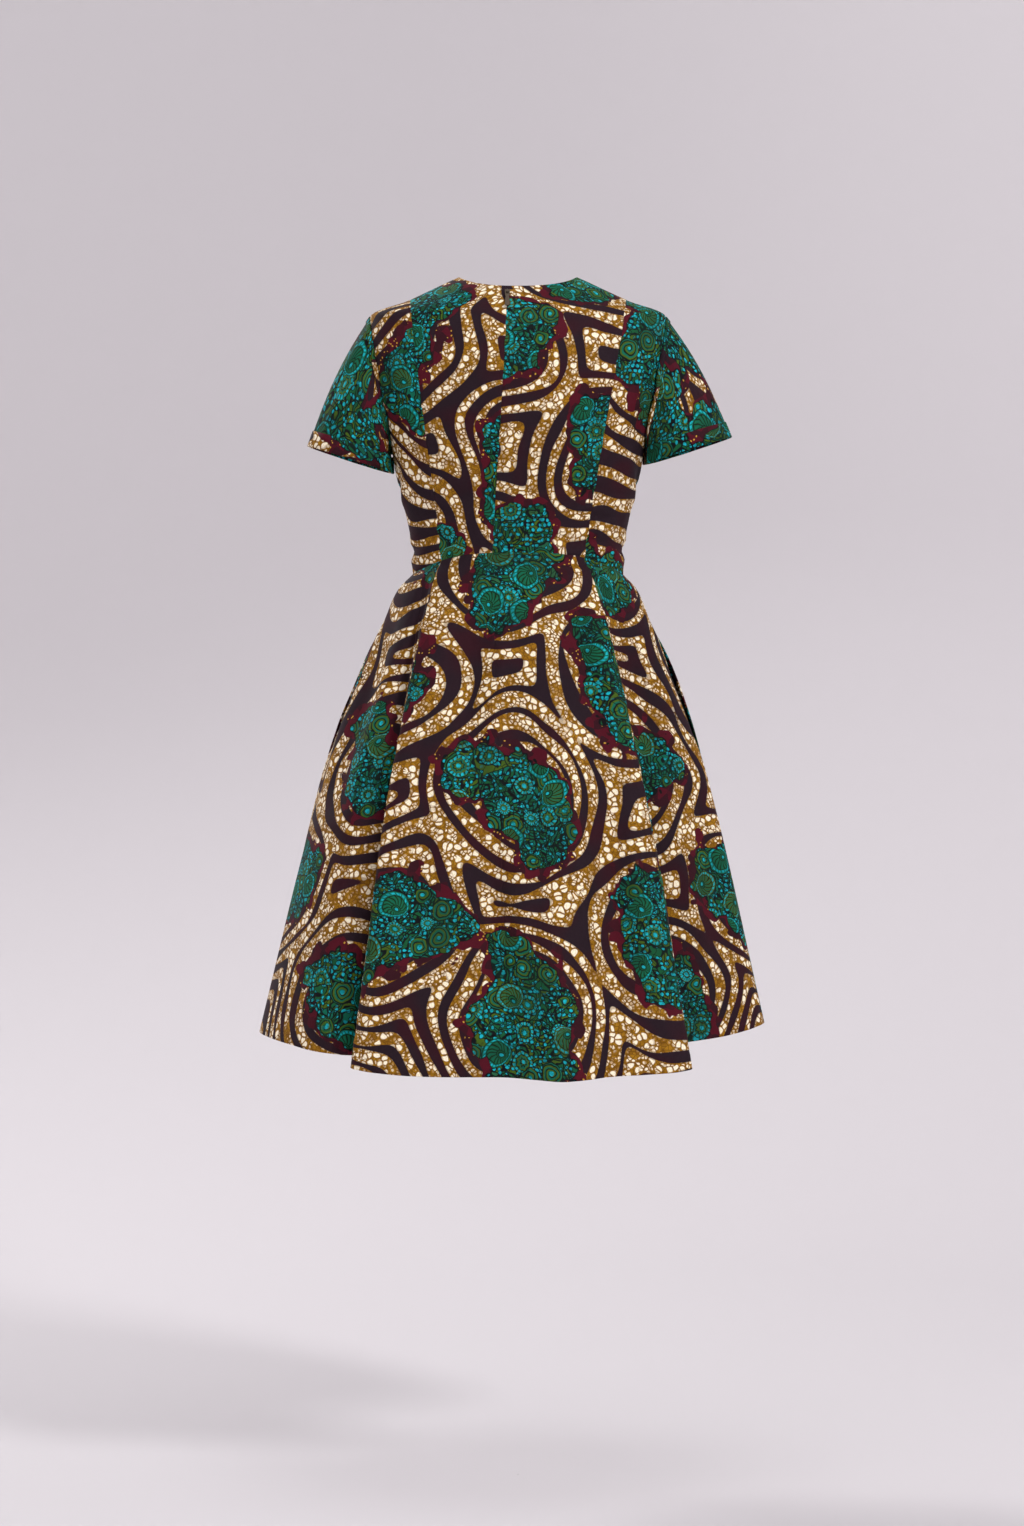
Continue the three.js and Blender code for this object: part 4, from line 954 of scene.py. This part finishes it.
def behind_seam(away, z, deep):
    """Points and normals beside the centre back seam, a depth in from the cloth, deeper at the waist seam."""
    away, z = np.broadcast_arrays(away, z)
    x, high = seam_cb(z) + away, (z > WAIST_BACK_Z)[..., None]
    turn = np.sign(x) * turn_at(x, z)
    v = np.clip((z - WAIST_BACK_Z) / (HEM_Z - WAIST_BACK_Z), 0.0005, 1)
    at = away / pace(np.zeros(1), np.maximum(v, 0.01))
    p = np.where(high, ring(turn, z), skirt_point(at, v))
    n = np.where(high, ring_normal(turn, z), skirt_normal(at, np.maximum(v, 0.002)))
    return p - n * (deep + 2.2 * np.exp(-(((z + 344) / 13) ** 2)))[..., None], n


tape_cloth = plain("zip tape weave", tone(24, 21, 24), 0.8, grain=1400)
for node, side in (("zip_tape_left", 1), ("zip_tape_right", -1)):
    z = np.append(zip_heights(ZIP_TOP, ZIP_BOTTOM, 4, 1.5), ZIP_BOTTOM)[:, None]
    u = np.linspace(0, 1, 5)[None]
    p, n = behind_seam(side * lerp(0.3, ZIP_TAPE_WIDTH, u), z, 1.5 + 0.5 + 0.25 * u)
    flat = developed(p)
    obj = mesh_piece(node + "_cloth", p, flat, thickness=0.7, facing=n)
    obj.data.materials.append(tape_cloth)
    width, length = ZIP_TAPE_WIDTH / 1000, cut_size(flat)[1]
    CUTS[node] = (width, round(length, 3), round(width * length, 4))
    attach(obj, "dress")
    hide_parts(node)

# ---- stitches and zip teeth, set along lines by geometry nodes
def repeat_tree(name, along, wide, high, sides, material):
    """Sets one small rounded bar at every point of a line, lying along "way" with its top towards "out"."""
    tree = bpy.data.node_groups.new(name, "GeometryNodeTree")
    tree.interface.new_socket("Geometry", in_out="INPUT", socket_type="NodeSocketGeometry")
    sizes = {}
    for label, value in (("Length", along), ("Width", wide), ("Height", high)):
        socket = tree.interface.new_socket(label, in_out="INPUT", socket_type="NodeSocketFloat")
        socket.default_value = value
        sizes[label] = (socket.identifier, value)
    tree.interface.new_socket("Geometry", in_out="OUTPUT", socket_type="NodeSocketGeometry")

    def add(kind, settings=None, **sockets):
        n = tree.nodes.new(kind)
        for key, value in (settings or {}).items():
            setattr(n, key, value)
        for key, value in sockets.items():
            target = n.inputs[key.replace("_", " ")]
            if isinstance(value, bpy.types.NodeSocket):
                tree.links.new(value, target)
            else:
                target.default_value = value
        return n

    given = tree.nodes.new("NodeGroupInput")
    bar = add("GeometryNodeMeshCylinder", Vertices=sides, Radius=0.5, Depth=1.0)
    laid = add("GeometryNodeTransform", Geometry=bar.outputs["Mesh"], Rotation=(0, math.pi / 2, 0))
    size = add("ShaderNodeCombineXYZ", X=given.outputs["Length"], Y=given.outputs["Width"],
               Z=given.outputs["Height"])
    out, way = (add("GeometryNodeInputNamedAttribute", dict(data_type="FLOAT_VECTOR"), Name=name)
                for name in ("out", "way"))
    turn_to = add("FunctionNodeAxesToRotation", dict(primary_axis="X", secondary_axis="Z"),
                  Primary_Axis=way.outputs["Attribute"], Secondary_Axis=out.outputs["Attribute"])
    set_ = add("GeometryNodeInstanceOnPoints", Points=given.outputs["Geometry"],
               Instance=laid.outputs["Geometry"], Rotation=turn_to.outputs["Rotation"],
               Scale=size.outputs["Vector"])
    real = add("GeometryNodeRealizeInstances", Geometry=set_.outputs["Instances"])
    paint = add("GeometryNodeSetMaterial", Geometry=real.outputs["Geometry"], Material=material)
    tree.links.new(paint.outputs["Geometry"], tree.nodes.new("NodeGroupOutput").inputs["Geometry"])
    return tree, sizes


def repeated(name, lines, pitch, tree, sizes, crosswise=False):
    """lines: (points, normals) in mm; one bar every pitch along each, lying along the line or across it."""
    at, out, way = [], [], []
    for points, normals in lines:
        run = walked(points)
        marks = np.arange(pitch / 2, run[-1], pitch)
        spot = lambda a, m: np.stack([np.interp(m, run, a[:, c]) for c in range(3)], -1)
        at.append(spot(points, marks))
        out.append(unit(spot(normals, marks)))
        way.append(unit(spot(points, marks + 0.5) - spot(points, marks - 0.5)))
    at, out, way = (np.concatenate(a) for a in (at, out, way))
    if crosswise:
        way = unit(np.cross(way, out))
    mesh = bpy.data.meshes.new(name)
    mesh.from_pydata((at / 1000).tolist(), [], [])
    for label, data in (("out", out), ("way", way)):
        kept = mesh.attributes.new(label, "FLOAT_VECTOR", "POINT").data
        kept.foreach_set("vector", data.astype(np.float32).ravel())
    obj = bpy.data.objects.new(name, mesh)
    bpy.context.scene.collection.objects.link(obj)
    mod = obj.modifiers.new("repeat", "NODES")
    mod.node_group = tree
    for identifier, value in sizes.values():
        mod[identifier] = value
    bpy.context.view_layer.update()
    made = bpy.data.meshes.new_from_object(obj.evaluated_get(bpy.context.evaluated_depsgraph_get()))
    obj.modifiers.remove(mod)
    obj.data = made
    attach(obj, "dress")


def across_row(node, inset):
    """A line round a panel, a set distance in from its lower (or with a negative sign upper) edge."""
    p = SHAPED[node][::-1] if inset >= 0 else SHAPED[node]
    run = walked(p)
    line, further = row_at(p, run, abs(inset)), row_at(p, run, abs(inset) + 3)
    return line, unit(np.cross(np.gradient(line, axis=0), further - line))


def outward(line, n, centre=(0, 0, 0)):
    """Turns a line's normals away from a centre and lifts the line to the top of the cloth."""
    inward = np.sum((line - np.array(centre))[:, :2] * n[:, :2], -1).sum() < 0
    n = -n if inward else n
    return line + n * 0.12, n


thread = plain("sewing thread", tone(26, 34, 30), 0.7)
stitch_tree, stitch_sizes = repeat_tree("stitch", 0.0025, 0.0005, 0.0004, 6, thread)
hem_lines = [outward(*across_row(node, TURN_HEM - 3)) for node in SKIRT]
cuff_lines = [outward(*across_row("sleeve_" + name, TURN_CUFF - 3), centre=(c["side"] * 208, 2, 0))
              for name, c in CUFFS.items()]


def neck_part(node):
    line, n = outward(*across_row(node, 2 - TURN_NECK))
    keep = np.abs(line[:, 0]) < NECK_HALF + 5
    return line[keep], n[keep]


neck_lines = [neck_part(node) for node in ("bodice_back_left", "bodice_back_right", "bodice_front")]
repeated("hem_cuff_and_neck_stitches", hem_lines + cuff_lines + neck_lines, 3.3, stitch_tree, stitch_sizes)

teeth_tree, teeth_sizes = repeat_tree("coil", 0.0034, 0.00075, 0.0009, 6, tape_cloth)
z = zip_heights(-28, ZIP_BOTTOM + 4, 2, 1)
repeated("zip_coil", [behind_seam(np.zeros_like(z), z, 3.1)], 1.35, teeth_tree, teeth_sizes,
         crosswise=True)

# ---- slider and pull tab keep their own shape
zip_metal = plain("dark brass", tone(70, 60, 50), 0.38, 0.85)
for node in ("zip_slider", "zip_pull"):
    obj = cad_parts[node]
    for slot_ in obj.material_slots:
        slot_.material = zip_metal
    if not obj.material_slots:
        obj.data.materials.append(zip_metal)

# ---------------------------------------------------------------- stage, light and camera
def lathe_stage(profile, steps=96):
    ring_points = [(r * math.cos(a), r * math.sin(a), z) for r, z in profile
                   for a in np.linspace(0, 2 * math.pi, steps, endpoint=False)]
    corner = lambda i, j: i * steps + j % steps
    faces = [(corner(i, j), corner(i + 1, j), corner(i + 1, j + 1), corner(i, j + 1))
             for i in range(len(profile) - 1) for j in range(steps)]
    mesh = bpy.data.meshes.new("studio")
    mesh.from_pydata(ring_points, [], faces)
    mesh.shade_smooth()
    obj = bpy.data.objects.new("studio", mesh)
    bpy.context.scene.collection.objects.link(obj)
    return obj


FLOOR_Z = -1.49
curve = [(1.7 + 1.3 * math.sin(a), FLOOR_Z + 1.3 - 1.3 * math.cos(a))
         for a in np.linspace(0, math.pi / 2, 20)]
studio = lathe_stage([(0.001, FLOOR_Z), (0.8, FLOOR_Z)] + curve + [(3.0, 4.2)])
paper = Finish("studio paper")
from_behind = paper.node("ShaderNodeNewGeometry", result="Backfacing")
sheet_ = paper.node("ShaderNodeBsdfPrincipled", Base_Color=tone(206, 202, 205), Roughness=0.95)
clear = paper.node("ShaderNodeBsdfTransparent")
paper.node("ShaderNodeOutputMaterial",
           Surface=paper.node("ShaderNodeMixShader", Fac=from_behind, Shader=sheet_, Shader_001=clear))
studio.data.materials.append(paper.material)
studio.visible_shadow = False

scene = bpy.context.scene
world = bpy.data.worlds.new("studio air")
world.use_nodes = True
world.node_tree.nodes["Background"].inputs[0].default_value = tone(226, 225, 226)
world.node_tree.nodes["Background"].inputs[1].default_value = 0.22
scene.world = world
scene.view_settings.view_transform = "Standard"


def lamp(name, at, aim, size, power, colour=(1, 1, 1)):
    data = bpy.data.lights.new(name, "AREA")
    data.shape, data.size, data.energy, data.color = "DISK", size, power, colour
    obj = bpy.data.objects.new(name, data)
    obj.location = at
    obj.rotation_mode = "QUATERNION"
    obj.rotation_quaternion = (Vector(aim) - Vector(at)).to_track_quat("-Z", "Y")
    scene.collection.objects.link(obj)


lamp("key", (-2.6, 3.1, 2.3), (0, 0, -0.5), 1.0, 128)
lamp("fill", (2.4, 3.4, 0.6), (0, 0, -0.6), 2.4, 24)
lamp("front key", (2.6, -3.1, 2.3), (0, 0, -0.5), 1.1, 122)
lamp("top", (0, 0.2, 3.4), (0, 0, -0.6), 3.0, 46)

lens = bpy.data.cameras.new("view from behind")
lens.lens, lens.sensor_width, lens.sensor_fit = 95.1, 36, "AUTO"
camera = bpy.data.objects.new("view from behind", lens)
camera.location = (0, 5.0, -0.44)
camera.rotation_mode = "QUATERNION"
camera.rotation_quaternion = (Vector((0.0074, 0, -0.6015)) - Vector(camera.location)).to_track_quat("-Z", "Y")
scene.collection.objects.link(camera)
scene.camera = camera
